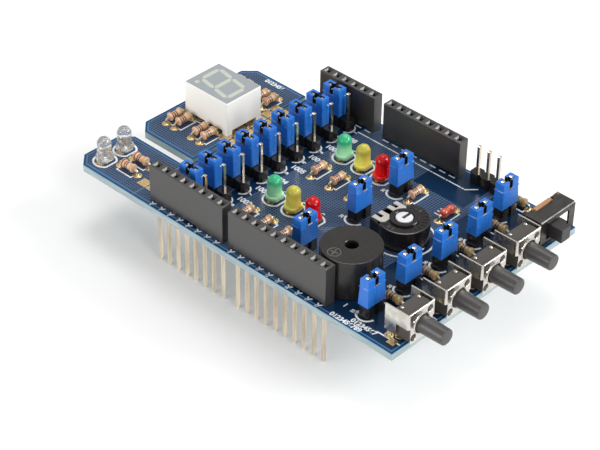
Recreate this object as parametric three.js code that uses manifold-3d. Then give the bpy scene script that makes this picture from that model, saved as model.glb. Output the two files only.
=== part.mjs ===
// Expansion board for a microcontroller trainer: a forked printed board on four stackable
// socket headers, with a one-digit display, eight lamps, a buzzer, a trimmer, a slide switch,
// four side push buttons and seventeen jumper shunts that pull off their pins.
// Millimetres, +Z up. The board is laid out on the connector grid: X and Y are measured from
// the first socket of the near eight-way header and Z from the top of the board. The whole
// group is then set on its pin tips, centred on its bounding box.

import * as THREE from 'three';
import { mergeVertices } from 'three/addons/utils/BufferGeometryUtils.js';
import Module from 'manifold-3d';

const wasm = await Module();
wasm.setup();

// Connector grid
const gridPitch = 2.54;
const rowSpacing = 48.26;

// Printed board
const boardThickness = 1.6;
const boardMargin = 2.54;
const boardBeforeGrid = 22.225;
const boardAfterGrid = 63.5;
const bodyBeforeGrid = 4.5;
const breakSlotWidth = 0.95;
const bridgeWidth = 17.9;
const fingerWidth = 14.1;
const forkSlotWidth = 2.7;
const tongueWidth = 32.9;
const cornerChamfer = 2.5;

// Through-board wiring
const squarePinWidth = 0.64;
const squarePinHole = 1;
const pinTipWidth = 0.34;
const pinTipLength = 0.5;
const leadDiameter = 0.5;
const leadWidth = 0.45;
const leadHole = 0.85;
const leadTail = 1.2;

// Stackable socket headers
const socketTop = 8.5;
const socketStandoff = 0.45;
const socketWidth = 2.54;
const socketMouth = 1.3;
const socketThroat = 0.8;
const socketFunnelDepth = 0.7;
const socketDepth = 6;
const socketFootLength = 0.8;
const socketFeet = 4;
const stackPinReach = 13;
const nearSecondStart = 21.844;
const farSecondStart = 17.78;

// Jumper pin headers
const pinBaseHeight = 2.54;
const pinBaseWidth = 2.5;
const pinBaseNotch = 0.5;
const jumperPinTop = 8.6;
const jumperTail = 1.2;

// Jumper shunts
const shuntLength = 4.95;
const shuntWidth = 2.5;
const shuntHeight = 6.2;
const shuntBore = 1.06;
const shuntNotchWidth = 0.9;
const shuntNotchDepth = 1.7;
const shuntNotchPoint = 0.3;
const shuntSeatGap = 0.1;

// Row of nine three-pin headers
const rowHeaderCount = 9;
const rowHeaderX = 3.95;
const rowHeaderFirstY = 3.9;
const rowHeaderPitch = 5.08;

// Two-pin jumpers beside the lamps and beside the buttons
const midJumperX = 31.5;
const midJumperFirstY = 8.4;
const midJumperSecondY = 23.7;
const midJumperThirdY = 35.8;
const sideJumperInset = 10.65;
const sideJumperX = boardAfterGrid - sideJumperInset;
const sideJumperShift = 0.85;
const lastJumperShift = 1.75;

// One-digit display
const displayX = -12.42;
const displayY = 29.64;
const displayLength = 12.45;
const displayWidth = 9.85;
const displayTop = 8;
const displayStandoff = 0.95;
const displayWall = 0.7;
const displayFace = 0.8;
const displayFootLength = 1.5;
const displayMidFoot = 1;
const resinGap = 0.2;
const resinRecess = 0.6;
const digitHeight = 9;
const digitWidth = 5.5;
const digitOffsetY = 0.1;
const digitSlantDeg = 9.6;
const segmentWidth = 1.1;
const segmentGap = 0.3;
const pointX = -4.3;
const pointY = -3.22;
const pointDiameter = 1.1;
const displayPinPitch = 2.54;
const displayPinRows = 7.62;
const displayPinsPerRow = 5;

// Lamps
const lampColumnX = 15.7;
const lampColumnPitch = 5.15;
const lampFrontY = 16.2;
const lampBackY = 36.3;
const clearLampX = -17.8;
const clearLampFirstY = 1.5;
const clearLampPitch = 5.4;
const lampDiameter = 3;
const lampFlangeDiameter = 3.8;
const lampFlangeHeight = 1;
const lampHeight = 5.3;
const lampStandoff = 0.4;
const lampLeadPitch = 2.54;

// Buzzer, beside the first side jumper and behind the near socket header
const buzzerDiameter = 12;
const buzzerSideGap = 1.6;
const buzzerHeaderGap = 0.43;
const buzzerTop = 8.6;
const buzzerEdge = 0.3;
const buzzerFootWidth = 1.2;
const buzzerFootHeight = 0.4;
const buzzerHole = 2.6;
const buzzerHoleDepth = 3;
const buzzerLeadPitch = 7.6;

// Trimmer
const trimmerX = 42.1;
const trimmerY = 24.7;
const trimmerDiameter = 10.2;
const trimmerTop = 4.6;
const trimmerShelfTop = 3.9;
const trimmerBlockReach = 5.4;
const trimmerBlockWidth = 7.6;
const trimmerShoulder = 2.6;
const trimmerShoulderWidth = 8.4;
const trimmerCollarDiameter = 5.8;
const trimmerCollarHeight = 0.35;
const trimmerPlateThickness = 0.35;
const trimmerPlateLength = 3.4;
const trimmerPlateWidth = 2.9;
const trimmerPlateCorner = 0.9;
const trimmerPlateGap = 1.4;
const trimmerPlateSlotLength = 1.5;
const trimmerPlateSlotWidth = 0.8;
const rotorDiameter = 3.4;
const rotorDepth = 2.6;
const rotorSlotWidth = 0.65;
const rotorSlotDepth = 1;
const rotorSlotStart = 0.5;
const trimmerLeadPitch = 5.08;
const trimmerWiperReach = 4.2;

// Side push buttons
const buttonCount = 4;
const buttonFirstY = 4.6;
const buttonSwitchGap = 1.67;
const buttonAxisHeight = 3.45;
const bracketOverhang = 0.65;
const bracketFrontX = boardAfterGrid + bracketOverhang;
const bracketThickness = 0.3;
const bracketWidth = 7.3;
const bracketHeight = 6.9;
const bracketDepth = 5.7;
const bracketPlateLow = 3.55;
const bracketPlateWidth = 6;
const bracketTabLength = 2.65;
const bracketTabLow = 1.2;
const bracketLegWidth = 0.9;
const bracketLegInset = 0.7;
const buttonHousingSide = 6;
const buttonHousingDepth = 3.5;
const buttonWellDiameter = 5;
const buttonWellDepth = 2.2;
const plungerDiameter = 3.6;
const plungerTipDiameter = 3.3;
const plungerTipRound = 0.25;
const plungerReach = 5.95;
const plungerFlangeDiameter = 4.4;
const plungerFlangeLength = 0.8;
const plateHoleDiameter = 4;
const stakePitch = 4.35;
const stakeDiameter = 1.15;
const stakeHole = 1.5;
const stakeProud = 0.15;
const buttonPinPitch = 4.5;
const buttonPinWidth = 0.7;
const buttonPinThickness = 0.35;
const buttonPinInset = 0.85;
const buttonStubHeight = 0.4;

// Slide switch, its far end flush with the edge of the board
const switchInset = 0.6;
const switchFrontX = boardAfterGrid - switchInset;
const switchWidth = 10.4;
const switchCentreY = rowSpacing + boardMargin - switchWidth / 2;
const lastButtonY = switchCentreY - switchWidth / 2 - buttonSwitchGap - bracketWidth / 2;
const buttonPitch = (lastButtonY - buttonFirstY) / (buttonCount - 1);
const switchTop = 5.9;
const switchDepth = 3.6;
const switchSheet = 0.4;
const switchWindowWidth = 6.8;
const switchWindowLow = 1.2;
const switchWindowHigh = 4.75;
const switchTabDepth = 0.95;
const switchTabWidth = 2.2;
const switchStripThickness = 0.85;
const switchStripRise = 5;
const switchPinPitch = 2.54;
const knobOffset = -1.4;
const knobWidth = 2.65;
const knobHeight = 3;
const knobReach = 3.1;
const knobCentreHeight = 3;
const sliderWidth = 4;
const sliderHeight = 3.9;

// Axial parts: resistors and the diode, soldered to the board
const resistorBodyLength = 3.4;
const resistorBodyDiameter = 1.8;
const resistorWaistDiameter = 1.55;
const resistorEndLength = 0.95;
const resistorLeadPitch = 5.08;
const axialHeight = 1.15;
const diodeBodyLength = 3.8;
const diodeBodyDiameter = 1.9;
const diodeX = 43.5;
const diodeY = 35.95;
const fingerResistorX = -11.75;
const fingerResistorFirstY = 2.6;
const fingerResistorPitch = 3.4;
const displayResistorFirstX = -18.7;
const displayResistorPitch = 2.45;
const displayResistorPairPitch = 7.45;
const displayResistorNearY = 21.9;
const displayResistorFarY = 39.8;
const lampResistorX = 15.65;
const lampResistorFrontY = 8.45;
const lampResistorBackY = 29.05;
const trimmerResistorX = 34.9;
const trimmerResistorY = 36.55;
const buttonResistorShift = 1;
const buttonResistorX = sideJumperX + buttonResistorShift;
const buttonResistorRise = 4.15;
const lastResistorShift = 1.8;
const lastResistorX = sideJumperX - lastResistorShift;
const lastResistorY = 48.75;

// Free three-pin header, beside the last resistor
const headerPins = 3;
const freeHeaderGap = 0.69;
const freeHeaderX = lastResistorX - resistorLeadPitch / 2 - freeHeaderGap - headerPins * gridPitch;
const freeHeaderY = 49;

// Clearances, overruns and facets
const runningGap = 0.25;
const overrun = 0.2;
const solderDepth = 0.3;
const weldDistance = 1e-4;
const leadSides = 6;
const smallSides = 8;
const lampSides = 10;
const plungerSides = 16;
const wellSides = 10;
const resistorSides = 6;
const buzzerSides = 24;
const domeSteps = 3;

const materials = {
  mask: new THREE.MeshStandardMaterial({ color: 0x1d3557, roughness: 0.45, metalness: 0 }),
  black: new THREE.MeshStandardMaterial({ color: 0x2b2826, roughness: 0.55, metalness: 0 }),
  blue: new THREE.MeshStandardMaterial({ color: 0x1359b5, roughness: 0.4, metalness: 0 }),
  white: new THREE.MeshStandardMaterial({ color: 0xece8e0, roughness: 0.5, metalness: 0 }),
  resin: new THREE.MeshStandardMaterial({ color: 0xd8d4b8, roughness: 0.35, metalness: 0 }),
  greenLamp: new THREE.MeshStandardMaterial({ color: 0x5fc46a, roughness: 0.25, metalness: 0 }),
  yellowLamp: new THREE.MeshStandardMaterial({ color: 0xe9cf2f, roughness: 0.25, metalness: 0 }),
  redLamp: new THREE.MeshStandardMaterial({ color: 0xd8342c, roughness: 0.25, metalness: 0 }),
  clearLamp: new THREE.MeshStandardMaterial({ color: 0xe9ecec, roughness: 0.1, metalness: 0 }),
  tinned: new THREE.MeshStandardMaterial({ color: 0xd9d5cd, roughness: 0.25, metalness: 1 }),
  steel: new THREE.MeshStandardMaterial({ color: 0x5b5a5a, roughness: 0.4, metalness: 0.9 }),
  phenolic: new THREE.MeshStandardMaterial({ color: 0xb98352, roughness: 0.7, metalness: 0 }),
  ceramic: new THREE.MeshStandardMaterial({ color: 0xf0f0ee, roughness: 0.4, metalness: 0 }),
};

// A closed mesh as a solid, with its shared corners merged and collapsed triangles left out
function solidOf(geometry) {
  const bare = geometry.clone();
  bare.deleteAttribute('normal');
  bare.deleteAttribute('uv');
  const merged = mergeVertices(bare, weldDistance);
  const corners = merged.index.array;
  const kept = [];
  for (let i = 0; i < corners.length; i += 3) {
    const [a, b, c] = [corners[i], corners[i + 1], corners[i + 2]];
    if (a !== b && b !== c && c !== a) kept.push(a, b, c);
  }
  return new wasm.Manifold(new wasm.Mesh({
    numProp: 3,
    vertProperties: merged.attributes.position.array,
    triVerts: new Uint32Array(kept),
  }));
}

function geometryOf(solid) {
  const mesh = solid.getMesh();
  const geometry = new THREE.BufferGeometry();
  geometry.setAttribute('position', new THREE.BufferAttribute(mesh.vertProperties, 3));
  geometry.setIndex(new THREE.BufferAttribute(mesh.triVerts, 1));
  geometry.computeVertexNormals();
  return geometry;
}

const unite = (...solids) => solids.reduce((whole, piece) => whole.add(piece));
const cut = (whole, ...tools) => tools.reduce((rest, tool) => rest.subtract(tool), whole);

// A box between two values on each axis
function block(lowX, highX, lowY, highY, lowZ, highZ) {
  const box = new THREE.BoxGeometry(highX - lowX, highY - lowY, highZ - lowZ);
  box.translate((lowX + highX) / 2, (lowY + highY) / 2, (lowZ + highZ) / 2);
  return solidOf(box);
}

// A box centred on a point in plan
function post(x, y, sizeX, sizeY, lowZ, highZ) {
  return block(x - sizeX / 2, x + sizeX / 2, y - sizeY / 2, y + sizeY / 2, lowZ, highZ);
}

// A closed profile of radii and heights turned about an upright axis
function turned(profile, sides, x = 0, y = 0) {
  const lathe = new THREE.LatheGeometry(profile.map(([r, z]) => new THREE.Vector2(r, z)), sides);
  lathe.rotateX(Math.PI / 2);
  lathe.translate(x, y, 0);
  return solidOf(lathe);
}

function rod(diameter, lowZ, highZ, x, y, sides) {
  return turned([[0, lowZ], [diameter / 2, lowZ], [diameter / 2, highZ], [0, highZ]], sides, x, y);
}

// A four-sided profile with flats square to X and Y, given by half widths and heights
function squareTurned(profile, x, y) {
  const lathe = new THREE.LatheGeometry(
    profile.map(([half, z]) => new THREE.Vector2(half * Math.SQRT2, z)), 4);
  lathe.rotateY(Math.PI / 4);
  lathe.rotateX(Math.PI / 2);
  lathe.translate(x, y, 0);
  return solidOf(lathe);
}

// An outline in plan raised between two heights
function prism(outline, lowZ, highZ) {
  const shape = new THREE.Shape(outline.map(([x, y]) => new THREE.Vector2(x, y)));
  const body = new THREE.ExtrudeGeometry(shape, { depth: highZ - lowZ, bevelEnabled: false });
  body.translate(0, 0, lowZ);
  return solidOf(body);
}

// An outline in X and Z given a thickness along Y
function sidePlate(outline, lowY, highY) {
  const shape = new THREE.Shape(outline.map(([x, z]) => new THREE.Vector2(x, z)));
  const plate = new THREE.ExtrudeGeometry(shape, { depth: highY - lowY, bevelEnabled: false });
  plate.rotateX(Math.PI / 2);
  plate.translate(0, highY, 0);
  return solidOf(plate);
}

// A round tool or stud lying along X
function crossRod(diameter, lowX, highX, y, z, sides) {
  const bar = new THREE.CylinderGeometry(diameter / 2, diameter / 2, highX - lowX, sides);
  bar.rotateZ(-Math.PI / 2);
  bar.translate((lowX + highX) / 2, y, z);
  return solidOf(bar);
}

const board = new THREE.Group();
const boardUnderside = -boardThickness;
const drillings = [];
const solderedParts = [];

function addNode(name, solid, material, x = 0, y = 0, z = 0) {
  const mesh = new THREE.Mesh(geometryOf(solid), material);
  mesh.name = name;
  mesh.position.set(x, y, z);
  board.add(mesh);
  return mesh;
}

// A hole in the board for one lead, with four flats because its lead and solder hide it
function drill(x, y, width) {
  drillings.push(post(x, y, width, width, boardUnderside - overrun, overrun));
}

// A square pin with a blunt point at its upper end
function squarePin(x, y, lowZ, highZ) {
  const half = squarePinWidth / 2;
  const tip = pinTipWidth / 2;
  return squareTurned([[0, lowZ], [half, lowZ], [half, highZ - pinTipLength], [tip, highZ], [0, highZ]], x, y);
}

// Stackable socket header: a moulded strip with funnel-mouthed sockets, small feet that keep
// it off the solder, and long square pins that go on to the board below
function socketHeader(name, count, startX, y) {
  const lowX = -gridPitch / 2;
  const highX = lowX + count * gridPitch;
  const half = socketWidth / 2;
  let strip = block(lowX, highX, -half, half, socketStandoff, socketTop);
  for (let i = 0; i < socketFeet; i += 1) {
    const footLow = lowX + i * (highX - lowX - socketFootLength) / (socketFeet - 1);
    strip = strip.add(block(footLow, footLow + socketFootLength, -half, half, 0, socketStandoff + overrun));
  }
  const pinHalf = squarePinWidth / 2;
  const pinTip = pinTipWidth / 2;
  const pinLow = boardUnderside - stackPinReach;
  for (let i = 0; i < count; i += 1) {
    const x = i * gridPitch;
    strip = strip.subtract(squareTurned([
      [0, socketTop - socketDepth], [socketThroat / 2, socketTop - socketDepth],
      [socketThroat / 2, socketTop - socketFunnelDepth], [socketMouth / 2, socketTop],
      [socketMouth / 2, socketTop + overrun], [0, socketTop + overrun],
    ], x, 0));
    strip = strip.add(squareTurned([
      [0, pinLow], [pinTip, pinLow], [pinHalf, pinLow + pinTipLength],
      [pinHalf, socketStandoff + overrun], [0, socketStandoff + overrun],
    ], x, 0));
    drill(startX + x, y, squarePinHole);
  }
  addNode(name, strip, materials.black, startX, y);
}

socketHeader('socket_header_near_8', 8, 0, 0);
socketHeader('socket_header_near_10', 10, nearSecondStart, 0);
socketHeader('socket_header_far_6', 6, 0, rowSpacing);
socketHeader('socket_header_far_8', 8, farSecondStart, rowSpacing);

// Pin header with its pins in line along X: a moulded base, notched between the pins
function pinHeader(count, pinLow) {
  const half = pinBaseWidth / 2;
  const lowX = -gridPitch / 2;
  const near = [];
  const far = [];
  for (let i = 0; i < count; i += 1) {
    const unitLow = lowX + i * gridPitch;
    const unitHigh = unitLow + gridPitch;
    for (const [along, across] of [[unitLow, half - pinBaseNotch], [unitLow + pinBaseNotch, half],
      [unitHigh - pinBaseNotch, half]]) {
      near.push([along, -across]);
      far.push([along, across]);
    }
  }
  const highX = lowX + count * gridPitch;
  near.push([highX, pinBaseNotch - half]);
  far.push([highX, half - pinBaseNotch]);
  let header = prism([...near, ...far.reverse()], 0, pinBaseHeight);
  for (let i = 0; i < count; i += 1) {
    header = header.add(squarePin(i * gridPitch, 0, pinLow, jumperPinTop));
  }
  return header;
}

function pinHeaderNode(name, x, y) {
  addNode(name, pinHeader(headerPins, boardUnderside - jumperTail), materials.black, x, y);
  for (let i = 0; i < headerPins; i += 1) drill(x + i * gridPitch, y, squarePinHole);
}

// Jumper shunt: a moulded cap with two square bores for the pins and a notch across its top,
// between them, with a V-shaped floor over the contact. Its pins lie along X.
function shuntSolid() {
  const length = shuntLength / 2;
  const width = shuntWidth / 2;
  const notch = shuntNotchWidth / 2;
  const notchFloor = shuntHeight - shuntNotchDepth;
  const outline = [
    [-length, 0], [length, 0], [length, shuntHeight], [notch, shuntHeight], [notch, notchFloor],
    [0, notchFloor - shuntNotchPoint], [-notch, notchFloor], [-notch, shuntHeight], [-length, shuntHeight],
  ];
  return cut(sidePlate(outline, -width, width),
    post(-gridPitch / 2, 0, shuntBore, shuntBore, -overrun, shuntHeight + overrun),
    post(gridPitch / 2, 0, shuntBore, shuntBore, -overrun, shuntHeight + overrun));
}

function addShunt(name, x, y, alongY) {
  const mesh = addNode(name, shuntSolid(), materials.blue, x, y, pinBaseHeight + shuntSeatGap);
  if (alongY) mesh.rotation.z = Math.PI / 2;
}

for (let i = 0; i < rowHeaderCount; i += 1) {
  const y = rowHeaderFirstY + i * rowHeaderPitch;
  pinHeaderNode(`row_header_${i + 1}`, rowHeaderX, y);
  addShunt(`row_shunt_${i + 1}`, rowHeaderX + gridPitch / 2, y, false);
}

pinHeaderNode('free_header', freeHeaderX, freeHeaderY);

// Two-pin headers are soldered down with the board; each carries a shunt across its pins
function twoPinJumper(name, x, y) {
  const header = pinHeader(2, -solderDepth).rotate([0, 0, 90]);
  solderedParts.push(header.translate([x, y - gridPitch / 2, 0]));
  addShunt(name, x, y, true);
}

twoPinJumper('mid_shunt_1', midJumperX, midJumperFirstY);
twoPinJumper('mid_shunt_2', midJumperX, midJumperSecondY);
twoPinJumper('mid_shunt_3', midJumperX, midJumperThirdY);
for (let i = 0; i < buttonCount; i += 1) {
  twoPinJumper(`side_shunt_${i + 1}`, sideJumperX, buttonFirstY - sideJumperShift + i * buttonPitch);
}
twoPinJumper(`side_shunt_${buttonCount + 1}`, sideJumperX - lastJumperShift, switchCentreY + knobOffset);

// One segment of the digit, a bar with pointed ends along its length
function segment(x, y, length, width, alongX, lowZ, highZ) {
  const end = length / 2;
  const side = width / 2;
  const bar = [
    [-end, 0], [side - end, -side], [end - side, -side],
    [end, 0], [end - side, side], [side - end, side],
  ];
  const slant = Math.tan(THREE.MathUtils.degToRad(digitSlantDeg));
  return prism(bar.map(([along, across]) => {
    const [u, v] = alongX ? [along, across] : [across, -along];
    return [x + u, y + v - slant * (x + u)];
  }), lowZ, highZ);
}

// The seven segments and the point, in the display's own frame; the digit reads with its
// top towards +X, and slants towards -Y
function digitSolids(width, lowZ, highZ) {
  const stroke = digitHeight / 2 - segmentWidth / 2;
  const across = digitWidth - segmentWidth;
  const growth = width - segmentWidth;
  const upright = stroke - segmentGap + growth;
  const level = across - segmentGap + growth;
  const bars = [];
  for (const sign of [-1, 0, 1]) {
    bars.push(segment(sign * stroke, digitOffsetY, level, width, false, lowZ, highZ));
  }
  for (const signX of [-1, 1]) {
    for (const signY of [-1, 1]) {
      const y = digitOffsetY + signY * across / 2;
      bars.push(segment(signX * stroke / 2, y, upright, width, true, lowZ, highZ));
    }
  }
  bars.push(rod(pointDiameter + growth, lowZ, highZ, pointX, pointY, smallSides));
  return bars;
}

// Display: a moulded reflector shell with a well for each segment, and the cast resin that
// fills it from behind, with its lead frame pins
function display() {
  const halfX = displayLength / 2;
  const halfY = displayWidth / 2;
  const faceLow = displayTop - displayFace;
  const inX = halfX - displayWall;
  const inY = halfY - displayWall;
  let shell = cut(
    block(-halfX, halfX, -halfY, halfY, 0, displayTop),
    block(-inX, inX, -inY, inY, -overrun, faceLow));
  const openX = halfX - displayFootLength;
  const openY = halfY - displayFootLength;
  const sideOpening = openX - displayMidFoot / 2;
  for (const sign of [-1, 1]) {
    const centre = sign * (displayMidFoot / 2 + sideOpening / 2);
    shell = shell.subtract(post(centre, 0, sideOpening, displayWidth + overrun, -overrun, displayStandoff));
  }
  shell = shell.subtract(post(0, 0, displayLength + overrun, 2 * openY, -overrun, displayStandoff));
  shell = cut(shell, ...digitSolids(segmentWidth + resinGap, faceLow - overrun, displayTop + overrun));
  addNode('display_shell', shell, materials.white, displayX, displayY);

  const slabX = inX - resinGap;
  const slabY = inY - resinGap;
  const resinLow = displayStandoff + resinRecess;
  let resin = block(-slabX, slabX, -slabY, slabY, resinLow, faceLow - resinGap);
  resin = unite(resin, ...digitSolids(segmentWidth - resinGap, faceLow - 2 * resinGap, displayTop));
  for (const side of [-1, 1]) {
    for (let i = 0; i < displayPinsPerRow; i += 1) {
      const x = (i - (displayPinsPerRow - 1) / 2) * displayPinPitch;
      const y = side * displayPinRows / 2;
      resin = resin.add(post(x, y, leadWidth, leadWidth, boardUnderside - leadTail, resinLow + overrun));
      drill(displayX + x, displayY + y, leadHole);
    }
  }
  addNode('display_resin', resin, materials.resin, displayX, displayY);
}
display();

// Lamp: a cast lens with a domed end and a flange with one flat, on two leads
function lamp(name, material, x, y) {
  const radius = lampDiameter / 2;
  const flange = lampFlangeDiameter / 2;
  const profile = [[0, 0], [flange, 0], [flange, lampFlangeHeight], [radius, lampFlangeHeight]];
  for (let i = 0; i < domeSteps; i += 1) {
    const turn = i / domeSteps * Math.PI / 2;
    profile.push([radius * Math.cos(turn), lampHeight - radius + radius * Math.sin(turn)]);
  }
  profile.push([0, lampHeight]);
  let lens = turned(profile, lampSides);
  lens = lens.subtract(block(radius, flange + overrun, -flange, flange, -overrun, lampFlangeHeight + overrun));
  for (const side of [-1, 1]) {
    const leadY = side * lampLeadPitch / 2;
    lens = lens.add(post(0, leadY, leadWidth, leadWidth, boardUnderside - leadTail - lampStandoff, overrun));
    drill(x, y + leadY, leadHole);
  }
  addNode(name, lens, material, x, y, lampStandoff);
}

const lampColours = [
  ['green', materials.greenLamp], ['yellow', materials.yellowLamp], ['red', materials.redLamp],
];
lampColours.forEach(([colour, material], i) => {
  const x = lampColumnX + i * lampColumnPitch;
  lamp(`lamp_front_${colour}`, material, x, lampFrontY);
  lamp(`lamp_back_${colour}`, material, x, lampBackY);
});
lamp('lamp_clear_1', materials.clearLamp, clearLampX, clearLampFirstY);
lamp('lamp_clear_2', materials.clearLamp, clearLampX, clearLampFirstY + clearLampPitch);

// Buzzer: a round moulded case on a narrow foot ring, with its sound hole in the top
function buzzer() {
  const radius = buzzerDiameter / 2;
  const hole = buzzerHole / 2;
  const foot = radius - buzzerFootWidth;
  const buzzerX = sideJumperX - shuntWidth / 2 - buzzerSideGap - radius;
  const buzzerY = socketWidth / 2 + buzzerHeaderGap + radius;
  let can = turned([
    [0, buzzerFootHeight], [foot, buzzerFootHeight], [foot, 0], [radius - buzzerEdge, 0], [radius, buzzerEdge],
    [radius, buzzerTop - buzzerEdge], [radius - buzzerEdge, buzzerTop], [hole, buzzerTop],
    [hole, buzzerTop - buzzerHoleDepth], [0, buzzerTop - buzzerHoleDepth],
  ], buzzerSides);
  for (const side of [-1, 1]) {
    const x = side * buzzerLeadPitch / 2;
    can = can.add(rod(leadDiameter, boardUnderside - leadTail, buzzerFootHeight + overrun, x, 0, leadSides));
    drill(buzzerX + x, buzzerY, leadHole);
  }
  addNode('buzzer', can, materials.black, buzzerX, buzzerY);
}
buzzer();

// Trimmer: a round moulded body, cut down to a shelf on its -X side that runs out into the
// terminal block, two tinned contact plates on the shelf, and a slotted rotor inside a collar
function trimmer() {
  const collarTop = trimmerTop + trimmerCollarHeight;
  const wellLow = collarTop - rotorDepth - runningGap;
  const blockHalf = trimmerBlockWidth / 2;
  const shoulderHalf = trimmerShoulderWidth / 2;
  const plateFront = trimmerPlateLength - trimmerBlockReach;
  const dial = cut(
    rod(trimmerDiameter, 0, trimmerTop, 0, 0, buzzerSides),
    block(-trimmerDiameter, plateFront, -trimmerDiameter, trimmerDiameter, trimmerShelfTop, collarTop));
  let body = unite(
    dial,
    rod(trimmerCollarDiameter, trimmerShelfTop - overrun, collarTop, 0, 0, buzzerSides),
    prism([
      [-trimmerBlockReach, -blockHalf], [-trimmerShoulder, -shoulderHalf], [0, -shoulderHalf],
      [0, shoulderHalf], [-trimmerShoulder, shoulderHalf], [-trimmerBlockReach, blockHalf],
    ], 0, trimmerShelfTop));
  body = body.subtract(
    rod(rotorDiameter + 2 * runningGap, wellLow, collarTop + overrun, 0, 0, plungerSides));
  for (const side of [-1, 1]) {
    const lowY = side * trimmerPlateGap / 2;
    const highY = side * (trimmerPlateGap / 2 + trimmerPlateWidth);
    const lowX = -trimmerBlockReach;
    const cornerX = plateFront - trimmerPlateCorner;
    const plate = prism([
      [lowX, lowY], [cornerX, lowY], [plateFront, lowY + side * trimmerPlateCorner],
      [plateFront, highY - side * trimmerPlateCorner], [cornerX, highY], [lowX, highY],
    ], trimmerShelfTop - overrun, trimmerShelfTop + trimmerPlateThickness);
    const slotY = (lowY + highY) / 2;
    const slot = block(lowX - overrun, lowX + trimmerPlateSlotLength, slotY - trimmerPlateSlotWidth / 2,
      slotY + trimmerPlateSlotWidth / 2, trimmerShelfTop, trimmerTop);
    body = body.add(plate).subtract(slot);
    const leadX = lowX + trimmerPlateSlotLength / 2;
    const leadY = side * trimmerLeadPitch / 2;
    body = body.add(rod(leadDiameter, boardUnderside - leadTail, overrun, leadX, leadY, leadSides));
    drill(trimmerX + leadX, trimmerY + leadY, leadHole);
  }
  body = body.add(rod(leadDiameter, boardUnderside - leadTail, overrun, trimmerWiperReach, 0, leadSides));
  drill(trimmerX + trimmerWiperReach, trimmerY, leadHole);
  addNode('trimmer_body', body, materials.black, trimmerX, trimmerY);

  const rotorTop = trimmerTop + trimmerCollarHeight;
  const rotor = cut(
    rod(rotorDiameter, rotorTop - rotorDepth, rotorTop, 0, 0, plungerSides),
    block(-rotorSlotWidth / 2, rotorSlotWidth / 2, -rotorSlotStart, rotorDiameter,
      rotorTop - rotorSlotDepth, rotorTop + overrun));
  addNode('trimmer_rotor', rotor, materials.ceramic, trimmerX, trimmerY);
}
trimmer();

// Side push button, in its own frame: X from the face of its bracket, Y from its centre, and
// Z from the board
const plungerFlangeFront = -bracketThickness - runningGap;
const stakePlaces = [[-1, -1], [-1, 1], [1, -1], [1, 1]].map(
  ([signY, signZ]) => [signY * stakePitch / 2, buttonAxisHeight + signZ * stakePitch / 2]);

// The bracket is one folded sheet: a face plate, two wings folded back, and a leg on each
function bracketSolid() {
  const half = bracketWidth / 2;
  const plateHalf = bracketPlateWidth / 2;
  const back = -bracketDepth;
  const legLow = boardUnderside - leadTail;
  let sheet = unite(
    block(-bracketThickness, 0, -half, half, bracketPlateLow, bracketHeight),
    block(-bracketThickness, 0, -plateHalf, plateHalf, 0, bracketPlateLow + overrun));
  const legBack = back + bracketLegInset;
  const legFront = legBack + bracketLegWidth;
  const wing = [
    [0, bracketPlateLow], [0, bracketHeight], [back, bracketHeight], [back, bracketTabLow],
    [legBack, bracketTabLow], [legBack, legLow], [legFront, legLow], [legFront, bracketTabLow],
    [back + bracketTabLength, bracketTabLow], [back + bracketTabLength, bracketPlateLow],
  ];
  sheet = unite(sheet,
    sidePlate(wing, -half, bracketThickness - half),
    sidePlate(wing, half - bracketThickness, half));
  sheet = sheet.subtract(
    crossRod(plateHoleDiameter, -bracketThickness - overrun, overrun, 0, buttonAxisHeight, plungerSides));
  for (const [y, z] of stakePlaces) {
    sheet = sheet.subtract(crossRod(stakeHole, -bracketThickness - overrun, overrun, y, z, leadSides));
  }
  return sheet;
}

// The housing is a square moulding behind the face plate, held by four stakes through it; its
// pins leave the underside, and their cut ends stand out of the top
function buttonHousingSolid() {
  const half = buttonHousingSide / 2;
  const front = -bracketThickness;
  const back = front - buttonHousingDepth;
  const low = buttonAxisHeight - half;
  const high = buttonAxisHeight + half;
  let housing = block(back, front, -half, half, low, high);
  housing = housing.subtract(
    crossRod(buttonWellDiameter, front - buttonWellDepth, front + overrun, 0, buttonAxisHeight, wellSides));
  for (const [y, z] of stakePlaces) {
    housing = housing.add(crossRod(stakeDiameter, front - overrun, stakeProud, y, z, leadSides));
  }
  const pinX = back + buttonPinInset;
  for (const side of [-1, 1]) {
    const y = side * buttonPinPitch / 2;
    housing = unite(housing,
      post(pinX, y, buttonPinThickness, buttonPinWidth, high - overrun, high + buttonStubHeight),
      post(pinX, y, buttonPinThickness, buttonPinWidth, boardUnderside - leadTail, low + overrun));
  }
  return housing;
}

// The plunger is turned along its own axis: a flange that the plate retains, then a tapered
// stem with a rounded end
function plungerGeometry() {
  const radius = plungerDiameter / 2;
  const tip = plungerTipDiameter / 2;
  const flange = plungerFlangeDiameter / 2;
  const profile = [
    [0, plungerFlangeFront - plungerFlangeLength], [flange, plungerFlangeFront - plungerFlangeLength],
    [flange, plungerFlangeFront], [radius, plungerFlangeFront], [tip, plungerReach - plungerTipRound],
    [tip - plungerTipRound, plungerReach], [0, plungerReach],
  ];
  return new THREE.LatheGeometry(profile.map(([r, along]) => new THREE.Vector2(r, along)), plungerSides);
}

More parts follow.
